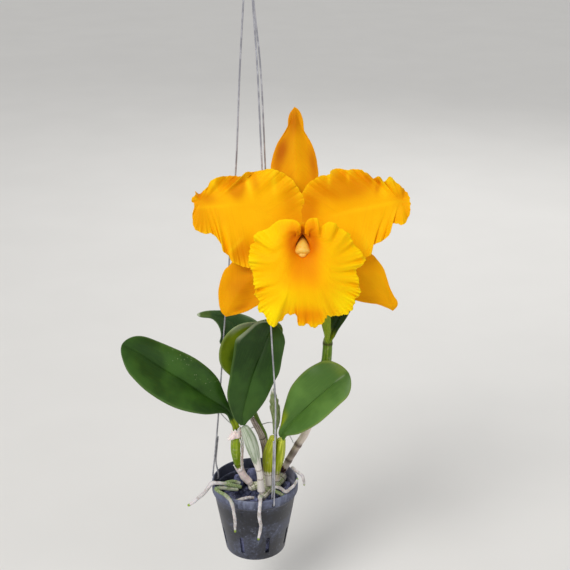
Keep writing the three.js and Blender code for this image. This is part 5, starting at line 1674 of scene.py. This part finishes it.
def wire_body(tree, points, radius, per_span=12):
    """A wire through some points, with its bends as close as the points are."""
    line = smooth(points, np.linspace(0, 1, per_span * (len(points) - 1) + 1))
    curve = bpy.data.curves.new("wire", "CURVE")
    curve.dimensions = "3D"
    spline = curve.splines.new("POLY")
    spline.points.add(len(line) - 1)
    spline.points.foreach_set("co", np.hstack([to_row(line), np.ones((len(line), 1))]).ravel())
    return grown("wire", curve, tree, Radius=radius * MM)


def wire_finish(name, base, bright, rust, metal=0.6):
    """Galvanised wire: a dull zinc skin with brighter scuffs and a few stains."""
    f = Finish(name, Metallic=metal, Specular_IOR_Level=0.5)
    cloud = f.noise(130.0, 3.0)
    fine = f.noise(900.0)
    stains = (cloud * 0.5 + fine * 0.5).between(0.58, 0.68) * 0.6
    layers = [(cloud.between(0.4, 0.65), bright), (stains, rust)]
    return f.finished(base, layers, 0.34 + fine * 0.25, fine, 0.3, 0.15)


def hanger_wire_path(side):
    """Down its free leg into the pot, out through the rim, and up to the collar."""
    x, y = arc(1, math.radians(HANGER_ANGLES[side]))
    start = [(32, 63), (31.8, 58), (32.6, WIRE_HOLE_HEIGHT - 0.3), (35.2, WIRE_HOLE_HEIGHT),
             (36.1, 58.8), (36.1, 64)]
    end = [(4.6, NECK_HEIGHT - 45), (1.3, NECK_HEIGHT - 0.6)]
    start, end = ([(radius * x, radius * y, height) for radius, height in part] for part in (start, end))
    return WIRE_LEGS[side] + start + WIRE_BOWS[side] + end


def add_hanger():
    zinc = wire_finish("galvanised_wire", "9C9CA4", "C6C6CC", "7C7068")
    tree = wire_tree(zinc)
    for side in WIRE_BOWS:
        body = wire_body(tree, hanger_wire_path(side), WIRE_RADIUS)
        add_piece(f"hanger_wire_{side}", [body], zinc)
    bright = wire_finish("bright_wire", "D4D4D8", "F0F0F2", "B8B2AC", metal=0.2)
    add_piece("support_tie", [wire_body(wire_tree(bright), TIE, TIE_RADIUS)], bright)

    top = NECK_HEIGHT + COLLAR_LENGTH
    bend_radius, hook_radius = 10, 1.1
    centre = -POT_BASE + hook_radius - bend_radius
    bend = arc(bend_radius, np.radians([195, 165, 135, 105, 75, 45, 15, -15, -40]))
    hook = [(0, 0, top - 10), (0, 0, top - 3), (0, 0, top + 3), (-3.6, 0, top + 9),
            *((x, 0, centre + z) for x, z in bend), (9.6, 0, centre - 12)]
    turns, wound = 8.6, 1.95
    angle = np.linspace(0, turns * 2 * math.pi, int(turns * 16))
    rise = NECK_HEIGHT + 0.7 + (COLLAR_LENGTH - 1.4) * angle / angle[-1]
    winding = np.column_stack([arc(wound, angle), rise])
    bodies = [wire_body(tree, hook, hook_radius), wire_body(tree, winding, WIRE_RADIUS, per_span=1)]
    add_piece("hanger_hook", bodies, zinc)


# ---- Setting ----------------------------------------------------------------------------

# The camera's focal length and picture width in pixels, its sensor's width in millimetres, its
# place, and how many degrees it looks down.
FOCAL_PIXELS = 1200
FRAME_PIXELS = 570
SENSOR = 36.0
CAMERA_PLACE = (24.4, -846.7, 574.4)
CAMERA_DIP = 22
# The floor's half-width in metres, and how far below the pot it lies.
FLOOR_HALF = 30.0
FLOOR_DROP = 60


def aim(thing, towards):
    """Turns a light so that it shines at a place."""
    way = Vector(towards) - thing.location
    thing.rotation_euler = way.to_track_quat("-Z", "Y").to_euler()


def add_camera():
    data = bpy.data.cameras.new("camera")
    data.sensor_width = SENSOR
    data.lens = FOCAL_PIXELS / FRAME_PIXELS * SENSOR
    camera = add_object("camera", data)
    camera.location = to_row(CAMERA_PLACE)
    camera.rotation_euler = (math.radians(90 - CAMERA_DIP), 0, 0)
    bpy.context.scene.camera = camera


def add_light(name, place, towards, size, watts, colour=(1, 1, 1)):
    data = bpy.data.lights.new(name, "AREA")
    data.size = size
    data.energy = watts
    data.color = colour
    light = add_object(name, data)
    light.location = place
    aim(light, towards)


def add_studio():
    """A pale floor below the hanging pot, a soft key from the upper left, and a weak fill."""
    f = Finish("studio_floor", Specular_IOR_Level=0.1)
    speck = f.noise(9.0, 3.0)
    mesh = bpy.data.meshes.new("studio_floor")
    corners = [(x * FLOOR_HALF, y * FLOOR_HALF) for x, y in ((-1, -1), (1, -1), (1, 1), (-1, 1))]
    level = (POT_BASE - FLOOR_DROP) * MM
    mesh.from_pydata([(x, y, level) for x, y in corners], [], [(0, 1, 2, 3)])
    mesh.materials.append(f.finished("DEDCD8", [(speck, "E4E2DE")], 0.75 + speck * 0.1))
    floor = add_object("studio_floor", mesh)

    world = bpy.data.worlds.new("studio")
    world.use_nodes = True
    sky = world.node_tree.nodes["Background"].inputs
    sky["Color"].default_value = (0.97, 0.98, 1.0, 1)
    sky["Strength"].default_value = 0.45
    bpy.context.scene.world = world
    bpy.context.scene.view_settings.view_transform = "Standard"
    sun = bpy.data.lights.new("soft_sun", "SUN")
    sun.energy = 1.0
    sun.angle = math.radians(25)
    aim(add_object("soft_sun", sun), (0.45, 0.75, -1.0))
    middle = to_row((20, -20, 220))
    add_light("key_light", (-0.75, -1.15, 0.62), middle, 0.7, 8, (1.0, 0.98, 0.95))
    add_light("fill_light", (1.1, -0.9, 0.1), middle, 1.0, 2.5, (0.95, 0.97, 1.0))
    add_light("back_light", (0.4, 1.2, 0.5), middle, 0.9, 6)


add_camera()
add_studio()
add_sepals_and_petals()
add_lip()
add_column()
add_stalk()
add_leaves()
add_bulbs()
add_rhizome()
add_sheaths()
add_roots()
add_charcoal()
add_pot()
add_hanger()
